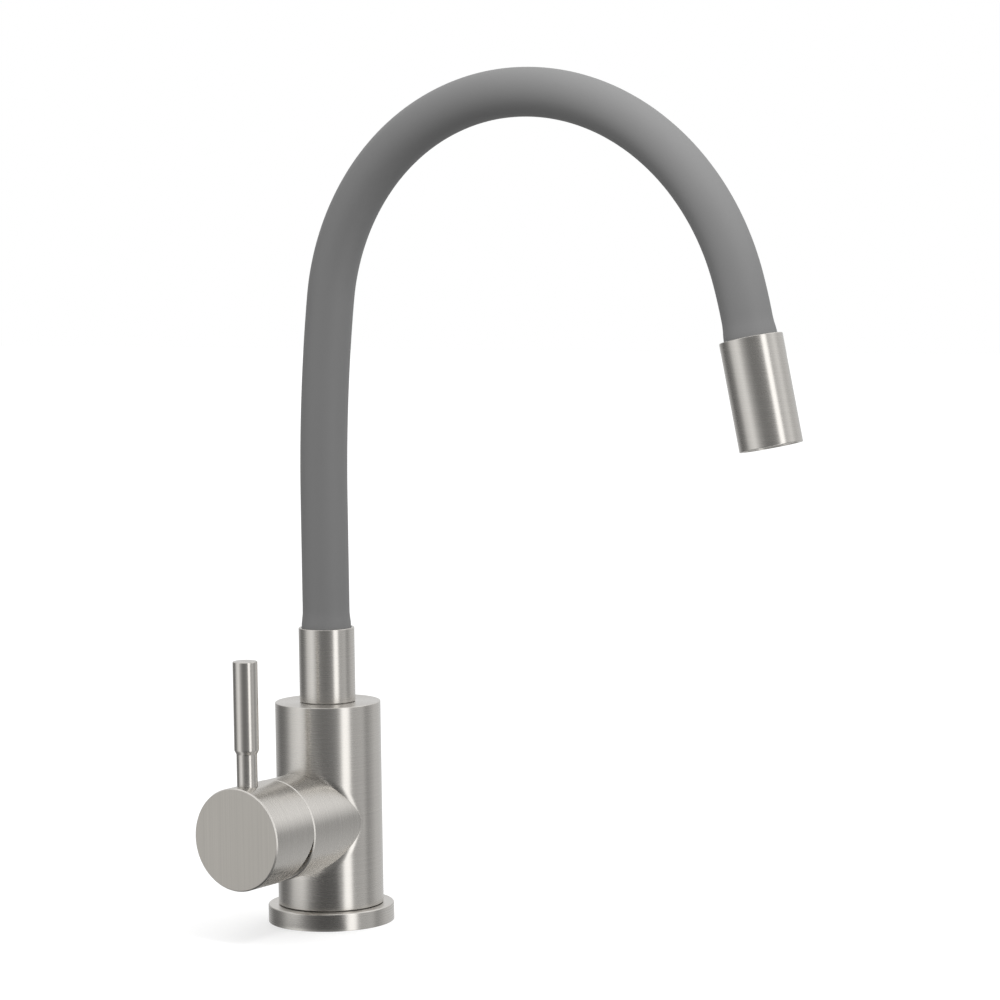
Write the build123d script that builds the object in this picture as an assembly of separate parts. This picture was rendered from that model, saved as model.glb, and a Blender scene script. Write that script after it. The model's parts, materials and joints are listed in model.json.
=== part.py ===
from build123d import *
import os
from math import cos, pi, radians, sin, tan

# Kitchen mixer with a flexible goose-neck spout. Millimetres, Z up, origin in the middle of the
# flange's underside, which is the worktop's face. The spout points to -Y and the handle to -X.

# Deck flange and upright body
flange_radius = 26.9
flange_height = 7.5
body_radius = 22.5
body_top = 94.4
edge_break = 0.4
register_radius = 20.0
register_bottom = 2.5
recess_radius = 17.0
recess_roof = 14.0

# Gasket under the flange
gasket_inner = 21.6
gasket_outer = 24.4
gasket_thickness = 1.95

# Fixing under the worktop
worktop_thickness = 30.0
stud_x = -9.0
stud_radius = 4.0
stud_top = 23.5
stud_bottom = -60.0
clamp_radius = 24.0
clamp_slot_half = 14.5
clamp_slot_from = -2.0
rubber_thickness = 3.0
steel_thickness = 2.0
nut_across_flats = 12.0
nut_length = 20.0
thread_play = 0.05

# Water ways in the body
port_x = 6.0
port_y = 9.0
port_radius = 4.5
port_depth = 10.0
riser_radius = 3.2
seat_from_axis = 10.0
inlet_up = 4.5
inlet_side = 5.5
inlet_radius = 2.4
inlet_duct_end = 4.5
outlet_down = 5.0
outlet_radius = 3.5
mixed_x = 8.5
mixed_radius = 2.8

# Side housing and cartridge. Places along it count outwards from the body's axis.
spigot_height = 44.6
housing_radius = 21.4
housing_front = 39.3
chamber_radius = 17.8
nut_thread_radius = 19.0
nut_thread_from = 31.0
cartridge_radius = 17.5
cartridge_base_front = 16.0
shell_wall = 2.0
shell_shoulder = 33.0
shell_neck_radius = 14.6
shell_neck_front = 38.0
seal_section = 1.2
fixed_disc_radius = 14.0
fixed_disc_front = 20.0
moving_disc_radius = 11.5
moving_disc_front = 23.5
disc_film = 0.02
disc_carrier_front = 29.0
rotor_radius = 13.3
rotor_flange_radius = 15.3
rotor_rear = 29.5
rotor_front = 40.6
running_play = 0.05
retaining_nut_front = 38.5
dome_radius = 17.2
dome_wall = 1.4
dome_front = 45.4

# Spindle in the cartridge
pivot_from_axis = 37.8
pivot_pin_radius = 1.5
ball_from_axis = 27.0
ball_radius = 2.8
ball_play = 0.15
spindle_arm_radius = 2.0
spindle_block_width = 7.0
spindle_block_height = 9.0
spindle_square = 8.0
spindle_end = 56.5

# Handle: a round cap that tilts on the spindle, and a lever screwed into it
cap_radius = 21.5
cap_rear = 39.6
cap_face = 65.2
cap_cavity_radius = 18.2
cap_cavity_floor = 50.0
cap_boss_radius = 9.0
cap_boss_rear = 44.0
cap_relief_angle = 18.5
cap_edge = 0.7
lever_from_axis = 56.6
lever_thread_radius = 3.0
lever_seat = 20.0
neck_radius = 4.3
grip_radius = 5.15
grip_bottom = 81.0
grip_taper = 1.6
lever_top = 118.0
grub_radius = 2.5
grub_from_axis = 53.0

# Spout foot
spout_bore_radius = 10.0
spout_bore_floor = 70.0
nipple_radius = 9.93
nipple_bottom = 71.0
nipple_thread_radius = 8.6
nipple_water_radius = 3.2
hose_tail_radius = 3.95
o_ring_heights = (76.0, 88.0)
o_ring_section = 0.9
lock_height = 82.0
lock_groove_radius = 8.4
lock_groove_width = 5.4
lock_screw_radius = 2.5
collar_radius = 11.9
collar_bottom = 94.65
collar_top = 126.2
collar_floor = 109.0
socket_radius = 10.75
glide_ring_top = 96.0

# Hose: a silicone sleeve over a wound goose-neck tube over the water hose
hose_foot = 110.0
sleeve_radius = 10.0
sleeve_inner = 8.5
sleeve_swell = 10.6
swell_length = 7.0
gooseneck_radius = 8.2
gooseneck_inner = 6.3
gooseneck_gap = 2.6
water_hose_radius = 6.0
water_hose_inner = 4.0
ferrule_length = 7.0
ferrule_radius = 8.35
straight_rise = 54.8
arch = ((690.0, 7.1), (94.0, 55.7), (100.0, 24.0), (105.0, 77.2), (220.0, 4.3))
bend_places = (64.0, 140.0, 220.0, 300.0, 380.0)

# Outlet head
head_radius = 12.55
head_length = 43.2
head_socket = 16.2
adaptor_thread_end = 24.0
adaptor_flange = 27.0
aerator_bore = 11.0
aerator_radius = 10.95
aerator_end = 42.2
aerator_wall = 1.5
washer_thickness = 1.5
screen_radius = 9.3
screen_pitch = 2.6
screen_hole = 1.0

spigot = Plane(origin=(0, 0, spigot_height), x_dir=(0, 0, 1), z_dir=(-1, 0, 0))


def rod(radius, start, end, plane=Plane.XY, edge=0.0):
    """Round bar along the plane's normal, with its far edge broken where edge is given."""
    solid = Pos(0, 0, start) * Cylinder(radius, end - start, align=(Align.CENTER, Align.CENTER, Align.MIN))
    if edge:
        solid = chamfer(solid.edges().sort_by(Axis.Z)[-1:], edge)
    return plane.location * solid


def ring(outer, inner, start, end, plane=Plane.XY, edge=0.0):
    """Tube along the plane's normal."""
    return rod(outer, start, end, plane, edge) - rod(inner, start - 1, end + 1, plane)


def shifted(plane, along_x, along_y):
    """The plane moved within itself."""
    return plane.shift_origin(plane.origin + plane.x_dir * along_x + plane.y_dir * along_y)


def bar(width_x, width_y, start, end, plane=Plane.XY):
    """Rectangular bar along the plane's normal."""
    return plane.location * Pos(0, 0, (start + end) / 2) * Box(width_x, width_y, end - start)


def hexagon(across_flats, start, end, plane=Plane.XY):
    """Hexagonal bar along the plane's normal."""
    outline = RegularPolygon(across_flats / 2, 6, major_radius=False)
    return plane.location * Pos(0, 0, start) * extrude(outline, end - start)


# Hose route: straight up from the foot, round the arch, then straight into the head

def route_pieces():
    """Start, heading from +Z towards -Y, length and radius of each stretch; no radius means straight."""
    place, heading = Vector(0, 0, hose_foot), 0.0
    stretches = [(collar_top - hose_foot + straight_rise, None, 0.0)]
    stretches += [(radius * radians(turn), radius, radians(turn)) for radius, turn in arch]
    stretches += [(swell_length + head_socket - 1.0, None, 0.0)]
    pieces = []
    for length, radius, turn in stretches:
        pieces.append((place, heading, length, radius))
        place, heading = along_stretch(place, heading, radius, length)
    return pieces


def along_stretch(place, heading, radius, length):
    """Where a stretch is after a length of it, and its heading there."""
    if radius is None:
        return place + Vector(0, -sin(heading), cos(heading)) * length, heading
    centre = place + Vector(0, -cos(heading), -sin(heading)) * radius
    later = heading + length / radius
    return centre + Vector(0, cos(later), sin(later)) * radius, later


route = route_pieces()
route_length = sum(length for _, _, length, _ in route)


def route_point(distance):
    """Point on the hose's centre line at a distance from its foot, and its direction there."""
    for place, heading, length, radius in route:
        if distance <= length or place is route[-1][0]:
            point, later = along_stretch(place, heading, radius, distance)
            return point, Vector(0, -sin(later), cos(later))
        distance -= length


def route_wire(start, end):
    """The centre line between two distances, as lines and arcs."""
    edges, reached = [], 0.0
    for _, _, length, radius in route:
        low, high = max(start, reached), min(end, reached + length)
        reached += length
        if high - low < 1e-6:
            continue
        first, last = route_point(low)[0], route_point(high)[0]
        if radius is None:
            edges.append(Line(first, last))
        else:
            edges.append(ThreePointArc(first, route_point((low + high) / 2)[0], last))
    return Wire(edges)


def route_plane(distance):
    """Plane square to the centre line."""
    point, direction = route_point(distance)
    return Plane(origin=point, x_dir=(1, 0, 0), z_dir=direction)


def hose(outer, inner, start, end):
    """Tube along the centre line."""
    wall = route_plane(start) * (Circle(outer) - Circle(inner))
    return sweep(wall, path=route_wire(start, end))


head_start = route_length - head_socket + 1.0
head = route_plane(head_start)


# Body and deck fixing

def mixer_body():
    """Upright body with its side housing, bored for the spout, cartridge, water and fixing."""
    solid = rod(body_radius, flange_height, body_top, edge=edge_break)
    solid += rod(register_radius, register_bottom, flange_height)
    solid += rod(housing_radius, 0, housing_front, spigot, edge=edge_break)
    solid -= rod(recess_radius, register_bottom - 1, recess_roof)
    solid -= rod(spout_bore_radius, spout_bore_floor, body_top + 1)
    solid -= rod(chamber_radius, seat_from_axis, housing_front + 1, spigot)
    solid -= rod(nut_thread_radius, nut_thread_from, housing_front + 1, spigot)
    solid -= rod(stud_radius + thread_play, recess_roof - 1, stud_top + 0.5, shifted(Plane.XY, stud_x, 0))
    for side in (-1, 1):
        port = shifted(Plane.XY, port_x, side * port_y)
        solid -= rod(port_radius, recess_roof - 1, recess_roof + port_depth, port)
        solid -= rod(riser_radius, recess_roof, spigot_height + inlet_up + inlet_radius, port)
        inlet = shifted(spigot, inlet_up, side * inlet_side)
        solid -= rod(inlet_radius, -inlet_duct_end, seat_from_axis + 1, inlet)
    solid -= rod(outlet_radius, -mixed_x, seat_from_axis + 1, shifted(spigot, -outlet_down, 0))
    mixed = shifted(Plane.XY, mixed_x, 0)
    solid -= rod(mixed_radius, spigot_height - outlet_down, spout_bore_floor + 1, mixed)
    lock = Plane(origin=(0, 0, lock_height), z_dir=(0, 1, 0))
    solid -= rod(lock_screw_radius + thread_play, 0, body_radius + 1, lock)
    return solid


def base_flange():
    """Deck ring that the body's register drops into."""
    solid = ring(flange_radius, register_radius + 0.1, 0, flange_height, edge=0.6)
    return solid - ring(gasket_outer + 0.1, gasket_inner - 0.1, -1, gasket_thickness + 0.05)


def deck_gasket():
    """Flat rubber seal in the flange's groove, flush with its underside."""
    return ring(gasket_outer, gasket_inner, 0, gasket_thickness)


def fixing_stud():
    """Threaded stud that draws the mixer down."""
    return rod(stud_radius, stud_bottom, stud_top, shifted(Plane.XY, stud_x, 0), edge=0.6)


def clamp_plate(top, thickness):
    """Horseshoe plate with its slot round the supply hoses."""
    solid = rod(clamp_radius, top - thickness, top)
    slot_length = 2 * clamp_radius
    slot = bar(slot_length, 2 * clamp_slot_half, top - thickness - 1, top + 1)
    solid -= Pos(clamp_slot_from + slot_length / 2, 0, 0) * slot
    stud_hole = rod(stud_radius + 0.3, top - thickness - 1, top + 1, shifted(Plane.XY, stud_x, 0))
    return solid - stud_hole


def fixing_nut():
    """Long nut on the stud."""
    top = -worktop_thickness - rubber_thickness - steel_thickness
    place = shifted(Plane.XY, stud_x, 0)
    hole = rod(stud_radius + thread_play, top - nut_length - 1, top + 1, place)
    return hexagon(nut_across_flats, top - nut_length, top, place) - hole


# Cartridge

def port_places():
    """Planes of the two inlets and the outlet on the cartridge's seat, each with its radius."""
    inlets = [(shifted(spigot, inlet_up, side * inlet_side), inlet_radius) for side in (-1, 1)]
    return inlets + [(shifted(spigot, -outlet_down, 0), outlet_radius)]


def cartridge_base():
    """Foot of the cartridge, with its three ports and their seal pockets."""
    solid = rod(cartridge_radius, seat_from_axis, cartridge_base_front, spigot)
    for place, radius in port_places():
        solid -= rod(radius, seat_from_axis - 1, cartridge_base_front + 1, place)
        pocket = radius + seal_section + 0.05
        solid -= rod(pocket, seat_from_axis - 1, seat_from_axis + seal_section + 0.05, place)
    return solid


def cartridge_port_seals():
    """Three rubber rings round the ports."""
    end = seat_from_axis + seal_section
    return [ring(radius + seal_section, radius + 0.05, seat_from_axis, end, place)
            for place, radius in port_places()]


def cartridge_shell():
    """Casing of the cartridge, stepped in at its shoulder to the neck that the rotor turns in."""
    solid = rod(cartridge_radius, cartridge_base_front, shell_shoulder, spigot)
    solid += rod(shell_neck_radius, shell_shoulder, shell_neck_front, spigot)
    solid -= rod(cartridge_radius - shell_wall, cartridge_base_front - 1, shell_shoulder - shell_wall, spigot)
    return solid - rod(rotor_radius + running_play, shell_shoulder - shell_wall - 1, housing_front, spigot)


def fixed_ceramic_disc():
    """Lower disc, with the ports through it."""
    solid = rod(fixed_disc_radius, cartridge_base_front, fixed_disc_front, spigot)
    for place, radius in port_places():
        solid -= rod(radius, cartridge_base_front - 1, fixed_disc_front + 1, place)
    return solid


def moving_ceramic_disc():
    """Upper disc, whose pocket joins the inlets to the outlet when it slides up."""
    rear = fixed_disc_front + disc_film
    solid = rod(moving_disc_radius, rear, moving_disc_front, spigot)
    pocket = bar(9.6, 14.0, rear - 1, rear + 2.0, shifted(spigot, -3.2, 0))
    return solid - fillet(pocket.edges().filter_by(Axis.X), 2.5)


def disc_carrier():
    """Plastic driver on the moving disc, with the pocket for the spindle's ball."""
    solid = rod(moving_disc_radius - 0.3, moving_disc_front, disc_carrier_front, spigot)
    return solid - rod(ball_radius + ball_play, moving_disc_front + 0.2, disc_carrier_front + 1, spigot)


def cartridge_rotor():
    """Turning part that carries the spindle's pin."""
    solid = rod(rotor_flange_radius, rotor_rear, shell_shoulder - shell_wall - 0.1, spigot)
    solid += rod(rotor_radius, rotor_rear, rotor_front, spigot)
    solid -= bar(13.4, spindle_block_width + 0.3, rotor_rear - 1, rotor_front + 1, spigot)
    return solid - pivot_rod(pivot_pin_radius + 0.02, 2 * rotor_radius + 2)


def pivot_rod(radius, length):
    """Round bar along the spindle's pivot, which lies along Y."""
    place = Pos(-pivot_from_axis, 0, spigot_height) * Rot(90, 0, 0)
    return place * Cylinder(radius, length)


def spindle_pin():
    """Steel pin through the rotor and the spindle."""
    return pivot_rod(pivot_pin_radius, 2 * rotor_radius - 1.5)


def cartridge_spindle():
    """Spindle: square end for the cap, block on the pin, and the arm whose ball drives the disc."""
    block_rear = pivot_from_axis - spindle_block_height / 2
    block_front = rotor_front + 2.5
    solid = bar(spindle_block_height, spindle_block_width, block_rear, block_front, spigot)
    solid += bar(spindle_square, spindle_square, block_front, spindle_end, spigot)
    solid += rod(spindle_arm_radius, ball_from_axis, block_rear + 1, spigot)
    solid += spigot.location * Pos(0, 0, ball_from_axis) * Sphere(ball_radius)
    return solid - pivot_rod(pivot_pin_radius + running_play, spindle_block_width + 2)


def cartridge_retaining_nut():
    """Ring nut on the cartridge's shoulder, with four spanner slots."""
    solid = ring(nut_thread_radius - running_play, shell_neck_radius + 0.1,
                 shell_shoulder, retaining_nut_front, spigot)
    for side in (-1, 1):
        middle = side * (nut_thread_radius + dome_radius) / 2
        for place in (shifted(spigot, middle, 0), shifted(spigot, 0, middle)):
            solid -= bar(4.0, 4.0, retaining_nut_front - 1.5, retaining_nut_front + 1, place)
    return solid


def dome_cover():
    """Ball-shaped cover over the cartridge's neck, round the same centre as the handle's tilt."""
    middle = spigot.location * Pos(0, 0, pivot_from_axis)
    shell = middle * (Sphere(dome_radius) - Sphere(dome_radius - dome_wall))
    return shell & rod(dome_radius + 1, retaining_nut_front, dome_front, spigot)


# Handle

def handle_cap():
    """Cap over the cartridge. Its lower rear half is cut back so that it can tilt outwards."""
    solid = rod(cap_radius, cap_rear, cap_face, spigot, edge=cap_edge)
    solid -= rod(cap_cavity_radius, cap_rear - 1, cap_cavity_floor, spigot)
    solid += rod(cap_boss_radius, cap_boss_rear, cap_cavity_floor + 1, spigot)
    fall = 1.2 * cap_radius
    corners = [
        (-cap_rear, spigot_height),
        (-cap_rear - fall * tan(radians(cap_relief_angle)), spigot_height - fall),
        (-cap_rear + 1, spigot_height - fall),
        (-cap_rear + 1, spigot_height),
    ]
    relief = make_face(Plane.XZ * Polyline(*corners, close=True))
    solid -= extrude(relief, cap_radius + 1, both=True)
    socket = spindle_square + 0.1
    solid -= bar(socket, socket, cap_boss_rear - 1, spindle_end + 0.3, spigot)
    lever = shifted(Plane.XY, -lever_from_axis, 0)
    solid -= rod(lever_thread_radius + thread_play, spigot_height + cap_boss_radius, lever_seat_height(), lever)
    solid -= rod(neck_radius + thread_play, lever_seat_height(), spigot_height + cap_radius + 1, lever)
    grub = shifted(Plane.XY, -grub_from_axis, 0)
    return solid - rod(grub_radius + thread_play, spigot_height - cap_radius - 1, spigot_height, grub)


def lever_seat_height():
    """Height of the flat that the lever's neck stands on, below the cap's crown."""
    return spigot_height + lever_seat


def lever_rod():
    """Lever: thread, slim neck and thicker grip, turned from one bar."""
    seat = lever_seat_height()
    outline = [
        (0, seat - 10.0),
        (lever_thread_radius, seat - 10.0),
        (lever_thread_radius, seat),
        (neck_radius, seat),
        (neck_radius, grip_bottom - grip_taper),
        (grip_radius, grip_bottom),
        (grip_radius, lever_top - edge_break),
        (grip_radius - edge_break, lever_top),
        (0, lever_top),
    ]
    half = make_face(Plane.XZ * Polyline(*outline, close=True))
    return Pos(-lever_from_axis, 0, 0) * revolve(half, Axis.Z)


def handle_grub_screw():
    """Set screw from below that clamps the cap on the spindle."""
    tip = spigot_height - spindle_square / 2
    foot = spigot_height - 0.8 * cap_radius
    place = shifted(Plane.XY, -grub_from_axis, 0)
    return rod(grub_radius, foot, tip, place) - hexagon(2.5, foot - 1, foot + 3.0, place)


# Spout foot

def swivel_nipple():
    """Turning foot of the spout: two seal grooves, the lock groove, thread and hose tail."""
    solid = rod(nipple_radius, nipple_bottom, glide_ring_top + 4.0)
    solid += rod(nipple_thread_radius, glide_ring_top, collar_floor)
    solid += rod(hose_tail_radius, collar_floor, collar_top)
    for height in o_ring_heights:
        width = 1.4 * o_ring_section
        solid -= ring(nipple_radius + 1, nipple_radius - 1.78, height - width, height + width)
    half = lock_groove_width / 2
    solid -= ring(nipple_radius + 1, lock_groove_radius, lock_height - half, lock_height + half)
    return solid - rod(nipple_water_radius, nipple_bottom - 1, collar_top + 1)


def swivel_o_rings():
    """Two rubber rings that seal the turning foot."""
    middle = spout_bore_radius - 0.02 - o_ring_section
    return [Pos(0, 0, height) * Torus(middle, o_ring_section) for height in o_ring_heights]


def spout_lock_screw():
    """Set screw in the back of the body whose tip runs in the nipple's groove."""
    place = Plane(origin=(0, 0, lock_height), z_dir=(0, 1, 0))
    solid = rod(lock_screw_radius, spout_bore_radius + 1.2, body_radius - 1.0, place)
    solid += rod(1.9, lock_groove_radius + 0.5, spout_bore_radius + 1.2, place)
    return solid - hexagon(2.5, body_radius - 4.0, body_radius, place)


def spout_glide_ring():
    """Slippery ring that the collar turns on."""
    return ring(collar_radius - 0.9, nipple_radius + 0.05, body_top + 0.05, glide_ring_top)


def spout_collar():
    """Collar screwed on the nipple, with the socket that the hose stands in."""
    solid = rod(collar_radius, collar_bottom, collar_top, edge=0.3)
    solid -= rod(collar_radius - 0.85, collar_bottom - 1, glide_ring_top)
    solid -= rod(nipple_radius + thread_play, collar_bottom, glide_ring_top + 4.2)
    solid -= rod(nipple_thread_radius + thread_play, collar_bottom, collar_floor + 1)
    return solid - rod(socket_radius, collar_floor, collar_top + 1)


# Hose, in one stretch more than it has bending places

def stretch_ends():
    """Start and end of each stretch."""
    ends = (0.0,) + bend_places + (route_length,)
    return list(zip(ends[:-1], ends[1:]))


def swell(start, end, grown_end, plane):
    """Thicker end of the sleeve: even in the socket and tapering outside it."""
    low, high = (sleeve_swell, sleeve_radius) if grown_end == "start" else (sleeve_radius, sleeve_swell)
    taper = plane.location * Pos(0, 0, start) * Cone(low, high, end - start,
                                                     align=(Align.CENTER, Align.CENTER, Align.MIN))
    return taper - rod(sleeve_radius - 0.5, start - 1, end + 1, plane)


def sleeve_stretch(start, end):
    """Silicone sleeve, swollen where it enters the collar and the head."""
    solid = hose(sleeve_radius, sleeve_inner, start, end)
    if start == 0:
        rim = collar_top - hose_foot
        foot = route_plane(0)
        solid += ring(sleeve_swell, sleeve_radius - 0.5, 0, rim, foot)
        solid += swell(rim, rim + swell_length, "start", foot)
    if end == route_length:
        solid += swell(-swell_length, 0, "end", head)
        solid += ring(sleeve_swell, sleeve_radius - 0.5, 0, head_socket - 1.0, head)
    return solid


def gooseneck_stretch(start, end):
    """Wound goose-neck tube, short of each bending place by half the gap."""
    low = ferrule_length - 1.0 if start == 0 else start + gooseneck_gap / 2
    high = end - ferrule_length + 1.0 if end == route_length else end - gooseneck_gap / 2
    return hose(gooseneck_radius, gooseneck_inner, low, high)


def hose_ferrule(start, plane):
    """Crimp ring that holds the goose-neck's end on the water hose."""
    return ring(ferrule_radius, water_hose_radius + 0.05, start, start + ferrule_length, plane)


# Outlet head

def outlet_head():
    """Outer shell of the head: hose socket, adaptor thread and aerator bore."""
    solid = rod(head_radius, 0, head_length, head, edge=0.3)
    solid -= rod(socket_radius, -1, head_socket, head)
    solid -= rod(nipple_thread_radius + thread_play, 0, head_length, head)
    return solid - rod(aerator_bore, adaptor_thread_end, head_length + 1, head)


def outlet_adaptor():
    """Threaded tail that joins the water hose to the head."""
    solid = rod(hose_tail_radius, 0, head_socket, head)
    solid += rod(nipple_thread_radius, head_socket, adaptor_thread_end, head)
    solid += rod(aerator_radius, adaptor_thread_end, adaptor_flange, head)
    return solid - rod(nipple_water_radius, -1, adaptor_flange + 1, head)


def aerator_washer():
    """Rubber washer between adaptor and aerator."""
    return ring(aerator_radius - 0.1, 7.0, adaptor_flange, adaptor_flange + washer_thickness, head)


def aerator_housing():
    """Screw-in ring that holds the aerator's insert, with a lip at its mouth."""
    start = adaptor_flange + washer_thickness
    solid = rod(aerator_radius, start, aerator_end, head, edge=0.3)
    solid -= rod(aerator_radius - aerator_wall, start - 1, aerator_end - 1.0, head)
    return solid - rod(aerator_radius - 2 * aerator_wall, start, aerator_end + 1, head)


def screen_holes(rows):
    """Places of a honeycomb of holes, that many rings round the middle one."""
    places = []
    for i in range(-rows, rows + 1):
        for j in range(-rows, rows + 1):
            if abs(i + j) <= rows:
                places.append(((i + j / 2) * screen_pitch, j * screen_pitch * 3 ** 0.5 / 2))
    return places


def screen(start, end, radius, hole, rows):
    """Round plate with the honeycomb through it."""
    solid = rod(radius, start, end, head)
    holes = [rod(hole, start - 1, end + 1, shifted(head, x, y)) for x, y in screen_holes(rows)]
    return solid - holes


def aerator_insert():
    """Plastic flow former in the aerator."""
    start = adaptor_flange + washer_thickness + 0.3
    cup = ring(screen_radius, screen_radius - 1.2, start, aerator_end - 4.4, head)
    return cup + screen(aerator_end - 6.4, aerator_end - 4.4, screen_radius, 0.8, 2)


def aerator_mesh():
    """Honeycomb screen at the outlet."""
    return screen(aerator_end - 4.2, aerator_end - 1.1, screen_radius, screen_hole, 3)


def pieces():
    """Every piece by its node's name. A group of like solids is a list."""
    rubber_top = -worktop_thickness
    steel_top = rubber_top - rubber_thickness
    made = {
        "mixer_body": mixer_body(),
        "base_flange": base_flange(),
        "deck_gasket": deck_gasket(),
        "fixing_stud": fixing_stud(),
        "rubber_horseshoe_washer": clamp_plate(rubber_top, rubber_thickness),
        "steel_horseshoe_washer": clamp_plate(steel_top, steel_thickness),
        "fixing_nut": fixing_nut(),
        "cartridge_base": cartridge_base(),
        "cartridge_port_seals": cartridge_port_seals(),
        "cartridge_shell": cartridge_shell(),
        "fixed_ceramic_disc": fixed_ceramic_disc(),
        "moving_ceramic_disc": moving_ceramic_disc(),
        "disc_carrier": disc_carrier(),
        "cartridge_rotor": cartridge_rotor(),
        "spindle_pin": spindle_pin(),
        "cartridge_spindle": cartridge_spindle(),
        "cartridge_retaining_nut": cartridge_retaining_nut(),
        "dome_cover": dome_cover(),
        "handle_cap": handle_cap(),
        "lever_rod": lever_rod(),
        "handle_grub_screw": handle_grub_screw(),
        "swivel_nipple": swivel_nipple(),
        "swivel_o_rings": swivel_o_rings(),
        "spout_lock_screw": spout_lock_screw(),
        "spout_glide_ring": spout_glide_ring(),
        "spout_collar": spout_collar(),
        "lower_ferrule": hose_ferrule(collar_floor, Plane.XY),
        "upper_ferrule": hose_ferrule(head_socket - ferrule_length, head),
        "outlet_head": outlet_head(),
        "outlet_adaptor": outlet_adaptor(),
        "aerator_washer": aerator_washer(),
        "aerator_housing": aerator_housing(),
        "aerator_insert": aerator_insert(),
        "aerator_mesh": aerator_mesh(),
    }
    for number, (start, end) in enumerate(stretch_ends(), 1):
        made[f"hose_sleeve_{number}"] = sleeve_stretch(start, end)
        made[f"gooseneck_tube_{number}"] = gooseneck_stretch(start, end)
        made[f"water_hose_{number}"] = hose(water_hose_radius, water_hose_inner, start, end)
    return made


os.makedirs("parts", exist_ok=True)
for name, made in pieces().items():
    solids = made if isinstance(made, list) else [made]
    shape = Compound(children=[s for piece in solids for s in piece.solids()])
    shape.label = name
    export_step(shape, f"parts/{name}.step")
    print(f"{name}: {len(shape.solids())} solid, {shape.volume:.0f} mm3")

for place in bend_places:
    point, _ = route_point(place)
    print(f"bending place at {place:.0f} mm along: y {point.Y:.2f}, z {point.Z:.2f}")
tip, pointing = route_point(route_length)
print(f"hose length {route_length:.1f} mm, head starts at {head.origin}, pointing {pointing}")
wall_area = pi * (gooseneck_radius ** 2 - gooseneck_inner ** 2)
for start, end in stretch_ends():
    tube = gooseneck_stretch(start, end)
    length = tube.volume / wall_area
    print(f"goose-neck stretch {start:.0f} to {end:.0f}: volume over section {length:.2f} mm")
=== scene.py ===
import bpy
import bmesh
import json
import math
from mathutils import Matrix, Vector


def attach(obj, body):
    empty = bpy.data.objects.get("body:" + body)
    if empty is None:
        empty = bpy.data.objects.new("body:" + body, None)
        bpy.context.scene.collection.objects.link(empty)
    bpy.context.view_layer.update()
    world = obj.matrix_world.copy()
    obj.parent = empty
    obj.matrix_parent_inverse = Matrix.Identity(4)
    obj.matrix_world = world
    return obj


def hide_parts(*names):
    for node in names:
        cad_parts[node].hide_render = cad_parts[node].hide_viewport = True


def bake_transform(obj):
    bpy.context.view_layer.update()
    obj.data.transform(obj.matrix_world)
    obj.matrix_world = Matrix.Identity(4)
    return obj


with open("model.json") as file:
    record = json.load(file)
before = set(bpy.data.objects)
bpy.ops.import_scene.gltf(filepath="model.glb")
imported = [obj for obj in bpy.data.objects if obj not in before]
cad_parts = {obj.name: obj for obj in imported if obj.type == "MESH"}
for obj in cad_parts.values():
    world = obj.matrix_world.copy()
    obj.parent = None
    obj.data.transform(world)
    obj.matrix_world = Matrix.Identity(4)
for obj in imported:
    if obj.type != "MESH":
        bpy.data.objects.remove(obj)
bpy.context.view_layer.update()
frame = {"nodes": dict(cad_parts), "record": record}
cadNodes = frame["nodes"]
mm = 0.001
uvPerMetre = 10
touch = 0.05            # millimetres within which a face counts as lying on a wall
bevelSlope = (0.3, 0.8)

print("frame loaded:", len(cadNodes), "nodes")


# Places shared by several pieces, in millimetres, as in the CAD
layout = dict(
    spigotHeight=44.6,
    flangeHeight=7.5,
    bodyRadius=22.5,
    bodyTop=94.4,
    housingRadius=21.4,
    housingFront=39.3,
    recessRoof=14.0,
    collarTop=126.2,
    leverFromAxis=56.6,
    studX=-9.0,
    worktop=30.0,
)

upright = Matrix.Identity(4)
# local X is up, local Y is +Y and local Z runs out of the side housing
spigot = Matrix.Translation((0, 0, layout["spigotHeight"] * mm)) @ Matrix((
    (0, 0, -1, 0),
    (0, 1, 0, 0),
    (1, 0, 0, 0),
    (0, 0, 0, 1),
))


def moved(x, y, z):
    return Matrix.Translation((x * mm, y * mm, z * mm))


def newObject(name, data, *materials):
    made = bpy.data.objects.new(name, data)
    bpy.context.scene.collection.objects.link(made)
    for material in materials:
        data.materials.append(material)
    return made


# Camera: place, aim and lens that match the picture's framing on a square frame
view = dict(place=(-1.1189, -0.8338, 0.2901), yaw=0.984, pitch=0.0792, roll=-0.0137, lens=118.3, sensor=36.0,
            nearest=0.05, farthest=30.0)


def makeCamera():
    data = bpy.data.cameras.new("camera")
    data.sensor_fit = "HORIZONTAL"
    data.sensor_width = view["sensor"]
    data.lens = view["lens"]
    data.clip_start = view["nearest"]
    data.clip_end = view["farthest"]
    yaw, pitch, roll = view["yaw"], view["pitch"], view["roll"]
    forward = Vector((math.sin(yaw) * math.cos(pitch), math.cos(yaw) * math.cos(pitch), -math.sin(pitch)))
    level = Vector((math.cos(yaw), -math.sin(yaw), 0))
    over = level.cross(forward)
    right = level * math.cos(roll) + over * math.sin(roll)
    up = over * math.cos(roll) - level * math.sin(roll)
    camera = newObject("camera", data)
    camera.matrix_world = Matrix((
        (right.x, up.x, -forward.x, view["place"][0]),
        (right.y, up.y, -forward.y, view["place"][1]),
        (right.z, up.z, -forward.z, view["place"][2]),
        (0, 0, 0, 1),
    ))
    bpy.context.scene.camera = camera


makeCamera()
print("camera placed")


# Node helpers, for shader trees and geometry trees alike

def feed(node, inputs):
    # each input, by its name or number, takes another node's output or a plain value
    for key, value in inputs.items():
        if isinstance(value, bpy.types.NodeSocket):
            node.id_data.links.new(value, node.inputs[key])
        else:
            node.inputs[key].default_value = value
    return node


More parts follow.
